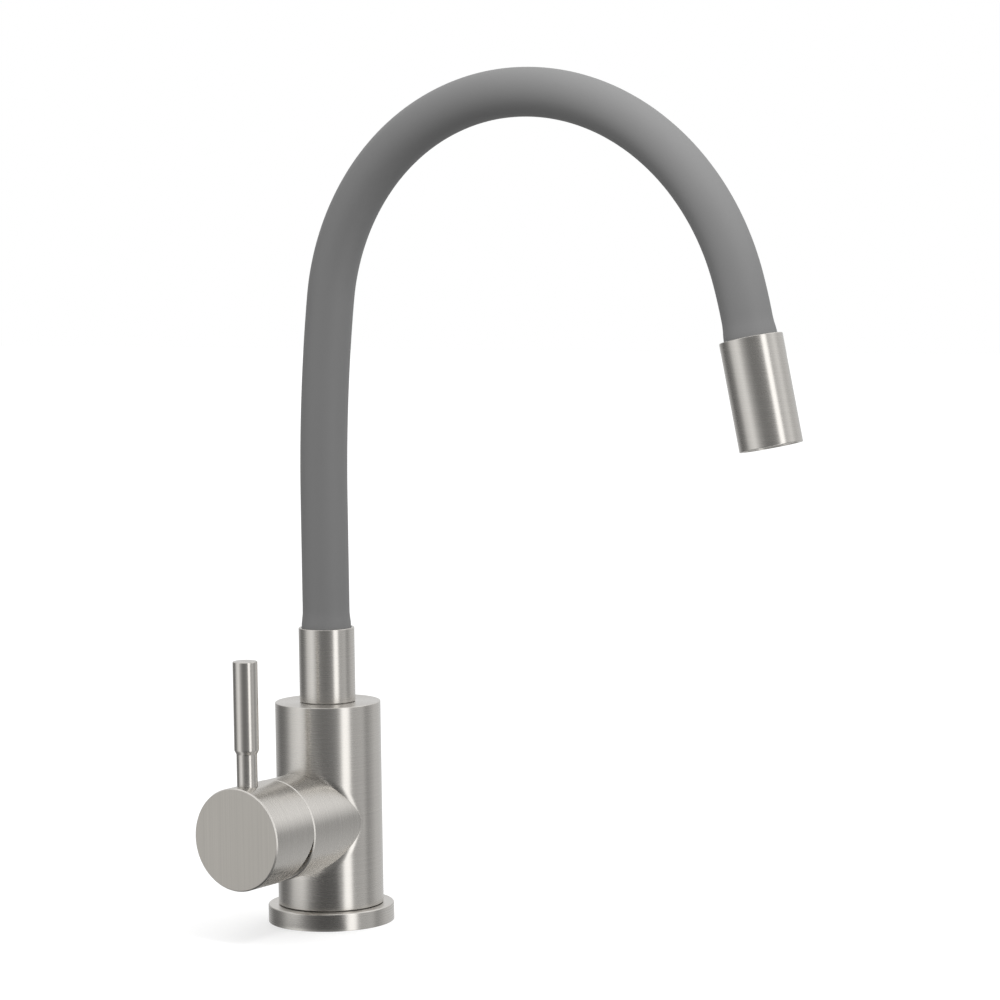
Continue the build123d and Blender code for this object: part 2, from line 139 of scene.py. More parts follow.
def addNode(tree, kind, inputs=None, **settings):
    made = tree.nodes.new(kind)
    for name, value in settings.items():
        setattr(made, name, value)
    return feed(made, inputs or {})


def maths(tree, operation, *values):
    return addNode(tree, "ShaderNodeMath", dict(enumerate(values)), operation=operation).outputs[0]


def vectorMaths(tree, operation, first, second):
    inputs = {0: first, "Scale" if operation == "SCALE" else 1: second}
    return addNode(tree, "ShaderNodeVectorMath", inputs, operation=operation).outputs[0]


def mixColor(tree, factor, first, second):
    return addNode(tree, "ShaderNodeMix", {0: factor, 6: first, 7: second}, data_type="RGBA").outputs[2]


def grey(value):
    return (value, value, value, 1)


def ramp(tree, source, stops, interpolation="LINEAR"):
    made = addNode(tree, "ShaderNodeValToRGB", {0: source})
    made.color_ramp.interpolation = interpolation
    elements = made.color_ramp.elements
    while len(elements) > 1:
        elements.remove(elements[-1])
    elements[0].position = stops[0][0]
    for position, _ in stops[1:]:
        elements.new(position)
    for element, (_, value) in zip(elements, stops):
        element.color = grey(value)
    return made.outputs[0]


groupOutputs = dict(
    ShaderNodeTree={"Color": "Color", "Roughness": "Float", "Height": "Float"},
    GeometryNodeTree={"Geometry": "Geometry"},
)


def newGroup(name, treeKind, inputs):
    # each input is given by its plain number, or by its kind where it has none
    tree = bpy.data.node_groups.new(name, treeKind)
    for label, value in inputs.items():
        kind = value if isinstance(value, str) else "Int" if isinstance(value, int) else "Float"
        socket = tree.interface.new_socket(name=label, in_out="INPUT", socket_type="NodeSocket" + kind)
        if kind != value:
            socket.default_value = value
    for label, kind in groupOutputs[treeKind].items():
        tree.interface.new_socket(name=label, in_out="OUTPUT", socket_type="NodeSocket" + kind)
    return tree, addNode(tree, "NodeGroupInput").outputs


# Studio: white backdrop, with dark flags and tall soft strips round the object for the metal
studio = dict(
    cameraAzimuth=216.6,    # degrees from +X to where the camera stands, seen from the body
    # degrees from the camera towards the picture's right, and how bright the surroundings are there
    upper=((-180, 0.90), (-150, 0.85), (-130, 0.72), (-112, 0.66), (-101, 0.72), (-88, 0.90), (-66, 1.10),
           (-57, 0.95), (-49, 0.66), (-38, 0.45), (-24, 0.30), (8, 0.30), (18, 0.40), (26, 0.60), (31, 2.00),
           (45, 2.00), (50, 0.72), (62, 0.95), (80, 1.40), (92, 1.45), (104, 1.10), (120, 1.00), (150, 1.00),
           (180, 0.90)),
    level=((-180, 0.75), (-150, 0.48), (-130, 0.20), (-112, 0.22), (-101, 0.40), (-88, 0.86), (-66, 1.14),
           (-57, 0.98), (-49, 0.68), (-38, 0.44), (-24, 0.26), (-8, 0.22), (8, 0.28), (18, 0.38), (26, 0.60),
           (31, 1.84), (45, 1.84), (50, 0.54), (62, 0.58), (80, 0.64), (92, 0.30), (104, 0.46), (120, 0.68),
           (150, 0.70), (180, 0.75)),
    lower=((-180, 0.60), (-130, 0.20), (-101, 0.40), (-88, 0.75), (-66, 0.98), (-57, 0.82), (-49, 0.55),
           (-38, 0.32), (-24, 0.20), (18, 0.24), (26, 0.42), (31, 1.50), (45, 1.50), (50, 0.50), (62, 0.52),
           (80, 0.58), (92, 0.44), (104, 0.56), (120, 0.70), (150, 0.72), (180, 0.60)),
    overhead=1.25,
    # shares of the lower ring, the upper ring and the overhead light against the height looked at
    lowerFrom=((0.12, 0.0), (0.42, 1.0)),
    upperFrom=((0.05, 0.0), (0.42, 1.0)),
    overheadFrom=((0.60, 0.0), (0.90, 1.0)),
    sky=(0.95, 1.25),           # light on matt surfaces from level and from above
    keyPower=0.85,
    keySize=0.12,
    keyPlace=(-0.168, -0.350, 0.578),
    aim=(0.0, -0.08, 0.25),
    floorSize=6.0,
    floorTone=0.62,
    floorBounce=0.30,           # how pale the floor is for the light that it throws back up
    floorLift=0.42,
    # painted shade in the reflections: a dark sheet before the base, met by first reflections alone; radius,
    # then start and end in degrees
    shadeSheet=((0.03, -85, 16), (0.08, -78, 15), (0.11, -46, 14), (0.22, -40, 13)),
    shadeSheetSteps=24,
    shadeSheetLift=0.0002,
    shadeSheetTone=0.03,
    shadeSheetCover=((0.0, 0.15), (0.22, 0.30), (0.32, 0.45), (0.50, 0.75), (0.95, 0.75), (1.0, 0.40)),
)


def makeWorld():
    world = bpy.data.worlds.new("studio")
    bpy.context.scene.world = world
    world.use_nodes = True
    tree = world.node_tree
    tree.nodes.clear()
    direction = addNode(tree, "ShaderNodeTexCoord").outputs["Generated"]
    x, y, z = addNode(tree, "ShaderNodeSeparateXYZ", {0: direction}).outputs
    turned = maths(tree, "SUBTRACT", maths(tree, "ARCTAN2", y, x), math.radians(studio["cameraAzimuth"]))
    wrapped = maths(tree, "WRAP", turned, math.pi, -math.pi)
    share = maths(tree, "MULTIPLY_ADD", wrapped, 0.5 / math.pi, 0.5)
    rings = [studio[name] for name in ("lower", "level", "upper")]
    brightest = max(value for ring in rings for _, value in ring)
    stops = ([(angle / 360 + 0.5, value / brightest) for angle, value in ring] for ring in rings)
    lower, level, upper = (ramp(tree, share, ringStops) for ringStops in stops)
    fall = ramp(tree, maths(tree, "MULTIPLY", z, -1.0), studio["lowerFrom"])
    rise = ramp(tree, z, studio["upperFrom"])
    walls = mixColor(tree, rise, mixColor(tree, fall, level, lower), upper)
    walls = vectorMaths(tree, "SCALE", walls, brightest)
    walls = mixColor(tree, ramp(tree, z, studio["overheadFrom"], "EASE"), walls, grey(studio["overhead"]))
    height = ramp(tree, z, ((0.0, 0.0), (1.0, 1.0)))
    soft = mixColor(tree, height, grey(studio["sky"][0]), grey(studio["sky"][1]))
    # camera and see-through rays meet plain white, gloss meets the flags and strips, and matt surfaces take
    # the soft fill
    rays = addNode(tree, "ShaderNodeLightPath").outputs
    plain = maths(tree, "MAXIMUM", rays["Is Camera Ray"], rays["Is Transmission Ray"])
    shown = mixColor(tree, plain, mixColor(tree, rays["Is Glossy Ray"], soft, walls), grey(1.0))
    background = addNode(tree, "ShaderNodeBackground", {"Color": shown})
    addNode(tree, "ShaderNodeOutputWorld", {0: background.outputs[0]})


def makeKeyLamp():
    data = bpy.data.lights.new("keyLamp", "AREA")
    data.shape = "SQUARE"
    data.size = studio["keySize"]
    data.energy = studio["keyPower"]
    lamp = newObject("keyLamp", data)
    place = Vector(studio["keyPlace"])
    aim = (Vector(studio["aim"]) - place).to_track_quat("-Z", "Y")
    lamp.matrix_world = Matrix.Translation(place) @ aim.to_matrix().to_4x4()
    lamp.visible_glossy = False


def stageSheet(name, points, faces, materialName, shade):
    # shade makes the sheet's shader and says where it is clear
    mesh = bpy.data.meshes.new(name)
    mesh.from_pydata(points, [], faces)
    material = bpy.data.materials.new(materialName)
    material.use_nodes = True
    tree = material.node_tree
    tree.nodes.clear()
    rays = addNode(tree, "ShaderNodeLightPath").outputs
    early = maths(tree, "LESS_THAN", rays["Glossy Depth"], 1.5)
    firstGloss = maths(tree, "MULTIPLY", rays["Is Glossy Ray"], early)
    clear, shader = shade(tree, rays, firstGloss)
    nothing = addNode(tree, "ShaderNodeBsdfTransparent").outputs[0]
    mixed = addNode(tree, "ShaderNodeMixShader", {0: clear, 1: shader, 2: nothing})
    addNode(tree, "ShaderNodeOutputMaterial", {0: mixed.outputs[0]})
    sheet = newObject(name, mesh, material)
    return sheet


def floorShade(tree, rays, firstGloss):
    tone = mixColor(tree, rays["Is Diffuse Ray"], grey(studio["floorTone"]), grey(studio["floorBounce"]))
    diffuse = addNode(tree, "ShaderNodeBsdfDiffuse", {"Color": tone})
    seen = maths(tree, "MAXIMUM", rays["Is Camera Ray"], rays["Is Transmission Ray"])
    seen = maths(tree, "MAXIMUM", seen, rays["Is Glossy Ray"])
    lift = addNode(tree, "ShaderNodeEmission", {"Color": grey(studio["floorLift"]), "Strength": seen})
    both = addNode(tree, "ShaderNodeAddShader", {0: diffuse.outputs[0], 1: lift.outputs[0]})
    # the flags stand close to the object, in front of the floor, so first reflections go on to them
    return firstGloss, both.outputs[0]


def makeFloor():
    half = studio["floorSize"]
    corners = [(-half, -half, 0), (half, -half, 0), (half, half, 0), (-half, half, 0)]
    stageSheet("studioFloor", corners, [(0, 1, 2, 3)], "paleFloor", floorShade)


# the sheet's dark colour, shown to first reflections alone, is painted shade in the reflections
def shadeSheetShader(tree, _, firstGloss):
    diffuse = addNode(tree, "ShaderNodeBsdfDiffuse", {"Color": grey(studio["shadeSheetTone"])})
    share = addNode(tree, "ShaderNodeAttribute", attribute_name="share").outputs["Fac"]
    shown = maths(tree, "MULTIPLY", firstGloss, ramp(tree, share, studio["shadeSheetCover"]))
    return maths(tree, "SUBTRACT", 1.0, shown), diffuse.outputs[0]


def makePaintedShadeSheet():
    # painted shade: this dark sheet, met by first reflections alone, darkens the reflections low on the
    # upright and the flange
    steps = studio["shadeSheetSteps"]
    points = []
    for radius, first, last in studio["shadeSheet"]:
        for step in range(steps + 1):
            turn = math.radians(studio["cameraAzimuth"] + first + (last - first) * step / steps)
            points.append((radius * math.cos(turn), radius * math.sin(turn), studio["shadeSheetLift"]))
    row = steps + 1
    rows = len(studio["shadeSheet"])
    faces = [(start + step, start + step + row, start + step + row + 1, start + step + 1)
             for start in range(0, row * (rows - 1), row) for step in range(steps)]
    shadeSheet = stageSheet("darkMat", points, faces, "paintedReflectionShade", shadeSheetShader)
    shares = [step / steps for step in range(row)] * rows
    shadeSheet.data.attributes.new("share", "FLOAT", "POINT").data.foreach_set("value", shares)
    for kind in ("camera", "diffuse", "transmission", "shadow", "volume_scatter"):
        setattr(shadeSheet, "visible_" + kind, False)


makeWorld()
makeKeyLamp()
makeFloor()
makePaintedShadeSheet()
bpy.context.scene.view_settings.view_transform = "Standard"
print("studio made")


# How the brushed lines and the moulded grain are built up, for the groups that all finishes share
grain = dict(fine=0.55, coarse=0.45, coarseScale=0.36, texture=0.62, cloudScale=22.0, cloudSwing=0.05,
             roughSwing=0.10, height=0.00004)
moulding = dict(cloudScale=35.0, fleck=0.35, roughSwing=0.12, height=0.00005)


def noise(tree, place, scale, detail, texture=0.5):
    inputs = {"Vector": place, "Scale": scale, "Detail": detail, "Roughness": texture}
    return addNode(tree, "ShaderNodeTexNoise", inputs, noise_dimensions="3D").outputs[0]


def centred(tree, value):
    return maths(tree, "SUBTRACT", value, 0.5)


def finishSurface(tree, base, shade, rough, height):
    color = vectorMaths(tree, "SCALE", base, shade)
    addNode(tree, "NodeGroupOutput", {"Color": color, "Roughness": rough, "Height": height})
    return tree


def makeGrainGroup():
    # fine brushed lines: Stretch is large across the lines and small along them
    tree, given = newGroup("brushedGrain", "ShaderNodeTree", {
        "Stretch": "Vector", "Strength": 0.2, "Steel": "Color", "Base Roughness": 0.3})
    place = addNode(tree, "ShaderNodeTexCoord").outputs["Object"]
    stretched = vectorMaths(tree, "MULTIPLY", place, given["Stretch"])
    layers = ((stretched, 1.0, 2.0), (stretched, grain["coarseScale"], 1.0),
              (place, grain["cloudScale"], 2.0))
    fine, coarse, cloud = (centred(tree, noise(tree, where, scale, detail, grain["texture"]))
                           for where, scale, detail in layers)
    lines = maths(tree, "ADD", maths(tree, "MULTIPLY", fine, grain["fine"]),
                  maths(tree, "MULTIPLY", coarse, grain["coarse"]))
    shade = maths(tree, "MULTIPLY_ADD", lines, given["Strength"], 1.0)
    shade = maths(tree, "MULTIPLY_ADD", cloud, grain["cloudSwing"], shade)
    rough = maths(tree, "MULTIPLY_ADD", lines, grain["roughSwing"], given["Base Roughness"])
    rough = maths(tree, "MULTIPLY_ADD", cloud, grain["cloudSwing"], rough)
    return finishSurface(tree, given["Steel"], shade, rough, lines)


def makeMouldedGroup():
    # moulded surface: soft clouds and fine flecks in the colour, grain in the height
    tree, given = newGroup("mouldedGrain", "ShaderNodeTree", {
        "Base": "Color", "Grain Scale": 1500.0, "Mottle": 0.1, "Base Roughness": 0.5})
    place = addNode(tree, "ShaderNodeTexCoord").outputs["Object"]
    bumps = noise(tree, place, given["Grain Scale"], 2.0)
    swing = centred(tree, noise(tree, place, moulding["cloudScale"], 3.0))
    fleck = maths(tree, "MULTIPLY", centred(tree, bumps), moulding["fleck"])
    shade = maths(tree, "MULTIPLY_ADD", maths(tree, "ADD", swing, fleck), given["Mottle"], 1.0)
    rough = maths(tree, "MULTIPLY_ADD", swing, moulding["roughSwing"], given["Base Roughness"])
    return finishSurface(tree, given["Base"], shade, rough, bumps)


grainGroup = makeGrainGroup()
mouldedGroup = makeMouldedGroup()


def surfaced(name, group, given, bump, height):
    # a material whose colour, roughness and bumps come from one of the groups
    material = bpy.data.materials.new(name)
    material.use_nodes = True
    tree = material.node_tree
    surface = addNode(tree, "ShaderNodeGroup", node_tree=group)
    outputs = feed(surface, given).outputs
    bumped = addNode(tree, "ShaderNodeBump", {
        "Strength": bump, "Distance": height, "Height": outputs["Height"]})
    shader = feed(tree.nodes["Principled BSDF"], {
        "Base Color": outputs["Color"], "Roughness": outputs["Roughness"], "Normal": bumped.outputs[0]})
    return material, shader


def brushedMetal(name, steel, stretch, roughness=0.27, strength=0.20, bump=0.03, anisotropic=0.75):
    given = {"Stretch": stretch, "Strength": strength, "Steel": (*steel, 1), "Base Roughness": roughness}
    material, shader = surfaced(name, grainGroup, given, bump, grain["height"])
    feed(shader, {"Metallic": 1.0})
    if anisotropic:
        along = addNode(material.node_tree, "ShaderNodeTangent", direction_type="UV_MAP", uv_map="turned")
        feed(shader, {"Anisotropic": anisotropic, "Anisotropic Rotation": 0.25, "Tangent": along.outputs[0]})
    return material


def moulded(name, base, roughness, grainScale=1500.0, mottle=0.10, bump=0.12, specular=0.5):
    given = {"Base": (*base, 1), "Grain Scale": grainScale, "Mottle": mottle, "Base Roughness": roughness}
    material, shader = surfaced(name, mouldedGroup, given, bump, moulding["height"])
    feed(shader, {"Specular IOR Level": specular})
    return material


# Finishes of this mixer: brushed lines run round the upright, round the housing, and up the cap's face
finish = dict(steel=(0.585, 0.565, 0.535), across=3000.0, along=9.0, silicone=(0.184, 0.184, 0.184))
steel, across, along = finish["steel"], finish["across"], finish["along"]
uprightSteel = brushedMetal("uprightBrushedSteel", steel, (along, along, across), strength=0.26, bump=0.03)
leverSteel = brushedMetal("leverBrushedSteel", steel, (along, along, across), roughness=0.25, strength=0.12,
                          bump=0.010)
spigotSteel = brushedMetal("housingBrushedSteel", steel, (across, along, along), strength=0.26, bump=0.024)
# painted shade: the cap's face takes a darker, warmer copy of the steel
shadedFaceSteel = brushedMetal("capFaceShadedBrushedSteel", (0.522, 0.500, 0.463), (along, across, along), roughness=0.36,
                         strength=0.36)
edgeSteel = brushedMetal("polishedEdgeSteel", steel, (400, 400, 400), roughness=0.34, strength=0.05,
                         bump=0.02, anisotropic=0.0)
# the bores and the cap's inside take a darker copy of the steel: painted shade in the recesses
boreShadeSteel = brushedMetal("paintedShadeBoreSteel", (0.34, 0.33, 0.31), (across, along, along), roughness=0.4,
                         anisotropic=0.0)
zincSteel = brushedMetal("zincPlatedSteel", (0.60, 0.60, 0.58), (300, 300, 300), roughness=0.38,
                         strength=0.35, anisotropic=0.0)
gooseneckSteel = brushedMetal("gooseneckSteel", (0.42, 0.42, 0.41), (300, 300, 300), roughness=0.4,
                              strength=0.3, anisotropic=0.0)
turnedBrass = brushedMetal("turnedBrass", (0.74, 0.55, 0.27), (across, along, along), roughness=0.3,
                           strength=0.3, anisotropic=0.0)
chromeTrim = brushedMetal("chromeTrim", (0.72, 0.72, 0.73), (200, 200, 200), roughness=0.12,
                          strength=0.08, bump=0.03, anisotropic=0.0)
greySilicone = moulded("greySilicone", finish["silicone"], 0.55, grainScale=2400.0, mottle=0.07,
                       bump=0.10, specular=0.42)
blackRubber = moulded("blackRubber", (0.022, 0.022, 0.023), 0.62, grainScale=1800.0, mottle=0.3, bump=0.25)
waterHosePlastic = moulded("waterHosePlastic", (0.74, 0.75, 0.72), 0.4)
cartridgePlastic = moulded("cartridgePlastic", (0.78, 0.77, 0.72), 0.42)
darkPlastic = moulded("darkPlastic", (0.020, 0.020, 0.021), 0.45, mottle=0.25)
whitePlastic = moulded("whitePlastic", (0.76, 0.76, 0.74), 0.38)
lappedCeramic = moulded("lappedCeramic", (0.84, 0.83, 0.80), 0.16, grainScale=900.0, mottle=0.04, bump=0.04)
print("materials made")


# Mesh helpers

def workedIn(piece):
    # the piece's modifiers become its plain mesh
    depsgraph = bpy.context.evaluated_depsgraph_get()
    mesh = bpy.data.meshes.new_from_object(piece.evaluated_get(depsgraph), preserve_all_data_layers=True,
                                           depsgraph=depsgraph)
    piece.modifiers.clear()
    piece.data = mesh
    return piece


def grown(name, tree, **values):
    # a piece made by a geometry tree, with its named inputs set by their identifiers
    piece = newObject(name, bpy.data.meshes.new(name))
    modifier = piece.modifiers.new("grown", "NODES")
    modifier.node_group = tree
    identifiers = {item.name: item.identifier for item in tree.interface.items_tree if item.in_out == "INPUT"}
    for key, value in values.items():
        modifier[identifiers[key]] = value
    return workedIn(piece)


def shaded(mesh, angle):
    for polygon in mesh.polygons:
        polygon.use_smooth = True
    mesh.set_sharp_from_angle(angle=math.radians(angle))


def roundedOutline(points, steps=4, support=0.12):
    # each corner with a fillet becomes an arc, with a supporting point on either side
    made = []
    count = len(points)
    for index, point in enumerate(points):
        fillet = point[2] if len(point) > 2 else 0
        here = Vector(point[:2])
        if not fillet:
            made.append(here)
            continue
        before = Vector(points[index - 1][:2]) - here
        after = Vector(points[(index + 1) % count][:2]) - here
        roomBefore, roomAfter = before.length, after.length
        before.normalize()
        after.normalize()
        half = before.angle(after) / 2
        reach = fillet / math.tan(half)
        centre = here + (before + after).normalized() * (fillet / math.sin(half))
        first, last = here + before * reach - centre, here + after * reach - centre
        if roomBefore > reach + 2 * support:
            made.append(here + before * (reach + support))
        turn = math.atan2(first.x * last.y - first.y * last.x, first.dot(last))
        for step in range(steps + 1):
            angle = turn * step / steps
            made.append(centre + Vector((first.x * math.cos(angle) - first.y * math.sin(angle),
                                         first.x * math.sin(angle) + first.y * math.cos(angle))))
        if roomAfter > reach + 2 * support:
            made.append(here + after * (reach + support))
    return made


def splitLong(points, longest):
    made = []
    for index, here in enumerate(points):
        there = points[(index + 1) % len(points)]
        made.append(here)
        pieces = int((there - here).length // longest)
        made += [here.lerp(there, piece / (pieces + 1)) for piece in range(1, pieces + 1)]
    return made


def lathe(name, sizes, corners, place, *materials, around=128, longest=6.0, sharp=32):
    # a closed outline turned about local Z, whose UVs run round and along; each corner has a radius, a
    # place and perhaps a fillet, in millimetres, as numbers or as names among the sizes and the layout
    known = {**layout, **sizes}
    points = [[known.get(item, item) for item in corner] for corner in corners]
    outline = splitLong(roundedOutline(points), longest)
    mesh = bpy.data.meshes.new(name)
    work = bmesh.new()
    uv = work.loops.layers.uv.new("turned")
    rings, run = [], [0.0]
    for index, point in enumerate(outline):
        count = around if point.x > 1e-4 else 1
        rings.append([work.verts.new((point.x * mm * math.cos(2 * math.pi * step / around),
                                      point.x * mm * math.sin(2 * math.pi * step / around),
                                      point.y * mm)) for step in range(count)])
        run.append(run[-1] + (outline[(index + 1) % len(outline)] - point).length * mm)
    for index, ring in enumerate(rings):
        other = rings[(index + 1) % len(rings)]
        if len(ring) == 1 and len(other) == 1:
            continue
        for step in range(around):
            made = []
            for end, row, sides in ((0, ring, (0, 1)), (1, other, (1, 0))):
                sides = sides if len(row) > 1 else (0.5,)
                made += [(row[int(step + side) % len(row)], step + side, end) for side in sides]
            face = work.faces.new([corner[0] for corner in made])
            for loop, corner in zip(face.loops, made):
                loop[uv].uv = (corner[1] / around, run[index + corner[2]] * uvPerMetre)
    bmesh.ops.recalc_face_normals(work, faces=work.faces)
    work.to_mesh(mesh)
    work.free()
    mesh.transform(place)
    shaded(mesh, sharp)
    return newObject(name, mesh, *materials)


def cleaned(piece, gap=0.01):
    # slivers left by a cut are merged away
    work = bmesh.new()
    work.from_mesh(piece.data)
    bmesh.ops.remove_doubles(work, verts=work.verts, dist=gap * mm)
    bmesh.ops.dissolve_degenerate(work, edges=work.edges, dist=gap * mm)
    work.to_mesh(piece.data)
    work.free()
    return piece


def combine(target, tool, operation="DIFFERENCE"):
    modifier = target.modifiers.new("combine", "BOOLEAN")
    modifier.operation = operation
    modifier.solver = "EXACT"
    modifier.object = tool
    workedIn(target)
    bpy.data.objects.remove(tool)
    return cleaned(target)


def drill(target, radius, start, end, place, around=48):
    corners = ((0, start), (radius, start), (radius, end), (0, end))
    return combine(target, lathe("drill", {}, corners, place, around=around))


def hullObject(name, corners):
    # closed flat-sided block round its corners, given in millimetres
    work = bmesh.new()
    made = [work.verts.new(Vector(corner) * mm) for corner in corners]
    bmesh.ops.convex_hull(work, input=made)
    bmesh.ops.dissolve_limit(work, angle_limit=0.01, verts=work.verts, edges=work.edges)
    mesh = bpy.data.meshes.new(name)
    work.to_mesh(mesh)
    work.free()
    return newObject(name, mesh)


def spigotNormal(point):
    # exact normal of a wall round the side housing's axis
    return Vector((0, point.y, point.z - layout["spigotHeight"] * mm)).normalized()


def paintFaces(mesh, materials, sharp, choose):
    # choose gives each face its slot and, where its wall is a known curve, the function for its exact normals
    mesh.materials.clear()
    for material in materials:
        mesh.materials.append(material)
    mesh.set_sharp_from_angle(angle=math.radians(sharp))
    normals = [normal.vector.copy() for normal in mesh.corner_normals]
    for polygon in mesh.polygons:
        polygon.use_smooth = True
        polygon.material_index, exactNormal = choose(polygon)
        if exactNormal:
            for index in polygon.loop_indices:
                normals[index] = exactNormal(mesh.vertices[mesh.loops[index].vertex_index].co)
    mesh.normals_split_custom_set(normals)


def handOver(piece, body, slotName, *replacedNodes):
    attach(piece, body)
    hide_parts(*replacedNodes)
    print("made", piece.name, len(piece.data.polygons), "faces")


# Upright body with its side housing
body = dict(
    edge=0.35,
    skin=0.6,               # how deep under the outer faces and the top the brushed finish reaches; deeper faces take the darker steel of painted shade
    hair=0.01,              # least distance that counts as off the upright's wall or its foot
    wallFrom=8.1,           # where the plain wall starts above the flange
    recess=17.0,
    register=20.0,
    registerBottom=2.5,
    registerTop=7.8,        # a little above the flange
    bore=10.0,
    boreFloor=70.0,
    chamber=17.8,
    chamberSeat=10.0,
    threadBore=19.0,
    threadFrom=31.0,
    threadTo=44.3,
    housingFoot=2.0,
    # radius, depth and place of the two hose ports and the stud's hole in the recessed underside
    sockets=((4.5, 10.0, 6.0, -9.0), (4.5, 10.0, 6.0, 9.0), (4.05, 10.0, layout["studX"], 0.0)),
    drillFrom=12.0,
    bevelFrom=38.65,
    bevelRadius=20.95,
    dip=0.30,               # how deep the upright is ground down where it meets the housing, and how far out
    dipWidth=2.8,
    # close rows of faces for the dip, and how many of its widths they reach beyond the housing
    rowStep=0.9,
    rowsBeyond=1.5,
    lockHeight=82.0,
    lockRadius=2.55,
    lockReach=(12.0, 26.5),
)


def dipDepth(turn, height):
    # depth of the ground dip at an angle from the housing's side and a height, with the distance measured
    # along the upright's surface
    if math.cos(turn) <= 0:
        return 0.0
    side, up = layout["bodyRadius"] * math.sin(turn), height - layout["spigotHeight"]
    reach = max(math.hypot(side, up), 0.1)
    climb = max(math.hypot(side * math.cos(turn), up) / reach, 1e-4)
    near = 1 - (reach - layout["housingRadius"]) / climb / body["dipWidth"]
    return body["dip"] * min(max(near, 0.0), 1.0) ** 2


def uprightNormal(point):
    # exact normal of the upright's wall, dip included
    turn, height, step = math.atan2(point.y, -point.x), point.z / mm, 0.02
    swing = step / layout["bodyRadius"]
    outwards = Vector((point.x, point.y, 0)).normalized()
    around = (dipDepth(turn + swing, height) - dipDepth(turn - swing, height)) / (2 * step)
    rise = (dipDepth(turn, height + step) - dipDepth(turn, height - step)) / (2 * step)
    return (outwards + Vector((outwards.y, -outwards.x, 0)) * around + Vector((0, 0, rise))).normalized()


def bodyFace(polygon):
    # slot 0 on the upright, 1 on the side housing, 2 in the bores, a darker steel that paints their shade,
    # and 3 on the bevel
    x, y, z = polygon.center
    height = z / mm
    fromAxis = math.hypot(x, y) / mm - layout["bodyRadius"]
    fromSpigot = math.hypot(y, z - layout["spigotHeight"] * mm) / mm - layout["housingRadius"]
    outThere = x < 0 and fromAxis > body["hair"]
    faced = polygon.normal.dot(spigotNormal(polygon.center)) > 0.98
    onHousing = outThere and fromSpigot > body["threadBore"] - layout["housingRadius"] + body["hair"]
    onHousing = onHousing or x < 0 and faced and abs(fromSpigot) < touch and fromAxis > -2 * body["dip"]
    inside = fromAxis < -body["skin"] and body["hair"] < height - body["registerBottom"]
    inside = inside and height < layout["bodyTop"] - body["skin"]
    onBevel = onHousing and bevelSlope[0] < -polygon.normal.x < bevelSlope[1]
    slot = 3 if onBevel else 1 if onHousing else 2 if inside or outThere else 0
    wall = body["wallFrom"] < height < layout["bodyTop"] - body["edge"]
    wall = wall and -body["dip"] - touch < fromAxis < touch and abs(polygon.normal.z) < 0.3
    if slot == 0 and wall:
        return slot, uprightNormal
    return slot, slot == 1 and abs(fromSpigot) < touch and abs(polygon.normal.x) < 0.05 and spigotNormal


def makeBody():
    half = layout["housingRadius"] + body["rowsBeyond"] * body["dipWidth"]
    rowCount = round(2 * half / body["rowStep"])
    lowest = layout["spigotHeight"] - half
    rows = [("bodyRadius", lowest + 2 * half * row / rowCount) for row in range(rowCount + 1)]
    shell = lathe("mixerBody", body, (
        ("recess", "registerBottom", 0.2), ("register", "registerBottom", 0.3), ("register", "registerTop"),
        ("bodyRadius", "registerTop", 0.25), *rows, ("bodyRadius", "bodyTop", "edge"),
        ("bore", "bodyTop", 0.5), ("bore", "boreFloor"), (0, "boreFloor"), (0, "recessRoof"),
        ("recess", "recessRoof"),
    ), upright, uprightSteel, around=240, longest=4.0)
    for vertex in shell.data.vertices:
        x, y, z = vertex.co
        if abs(math.hypot(x, y) / mm - layout["bodyRadius"]) < 0.01:
            left = 1 - dipDepth(math.atan2(y, -x), z / mm) / layout["bodyRadius"]
            vertex.co = (x * left, y * left, z)
    combine(shell, lathe("housing", body, (
        (0, "housingFoot"), ("housingRadius", "housingFoot"), ("housingRadius", "bevelFrom", 0.1),
        ("bevelRadius", "housingFront", 0.1), (0, "housingFront"),
    ), spigot, spigotSteel, around=160, longest=4.0), "UNION")
    combine(shell, lathe("chamber", body, (
        (0, "chamberSeat"), ("chamber", "chamberSeat"), ("chamber", "threadFrom"),
        ("threadBore", "threadFrom"), ("threadBore", "threadTo"), (0, "threadTo"),
    ), spigot, boreShadeSteel, around=96))
    for radius, depth, x, y in body["sockets"]:
        drill(shell, radius, body["drillFrom"], layout["recessRoof"] + depth, moved(x, y, 0))
    backwards = moved(0, 0, body["lockHeight"]) @ Matrix.Rotation(-math.pi / 2, 4, "X")
    drill(shell, body["lockRadius"], *body["lockReach"], backwards)
    paintFaces(shell.data, (uprightSteel, spigotSteel, boreShadeSteel, edgeSteel), 32, bodyFace)
    handOver(shell, "mixer", "brushed_stainless", "mixer_body")


makeBody()


# Deck flange and its gasket
flange = dict(radius=26.9, inner=20.1, edge=0.6, grooveInner=21.5, grooveOuter=24.5, grooveDepth=2.0,
              gasketInner=21.6, gasketOuter=24.4, gasket=1.95)


def makeFlange():
    ring = lathe("deckFlange", flange, (
        ("inner", 0), ("grooveInner", 0), ("grooveInner", "grooveDepth"), ("grooveOuter", "grooveDepth"),
        ("grooveOuter", 0), ("radius", 0, 0.15), ("radius", "flangeHeight", "edge"),
        ("inner", "flangeHeight", 0.1),
    ), upright, uprightSteel, around=160, longest=3.0)
    handOver(ring, "mixer", "brushed_stainless", "base_flange")
    seal = lathe("deckGasket", flange, (
        ("gasketInner", 0, 0.2), ("gasketOuter", 0, 0.2), ("gasketOuter", "gasket", 0.2),
        ("gasketInner", "gasket", 0.2),
    ), upright, blackRubber, around=128)
    handOver(seal, "mixer", "black_rubber", "deck_gasket")


makeFlange()


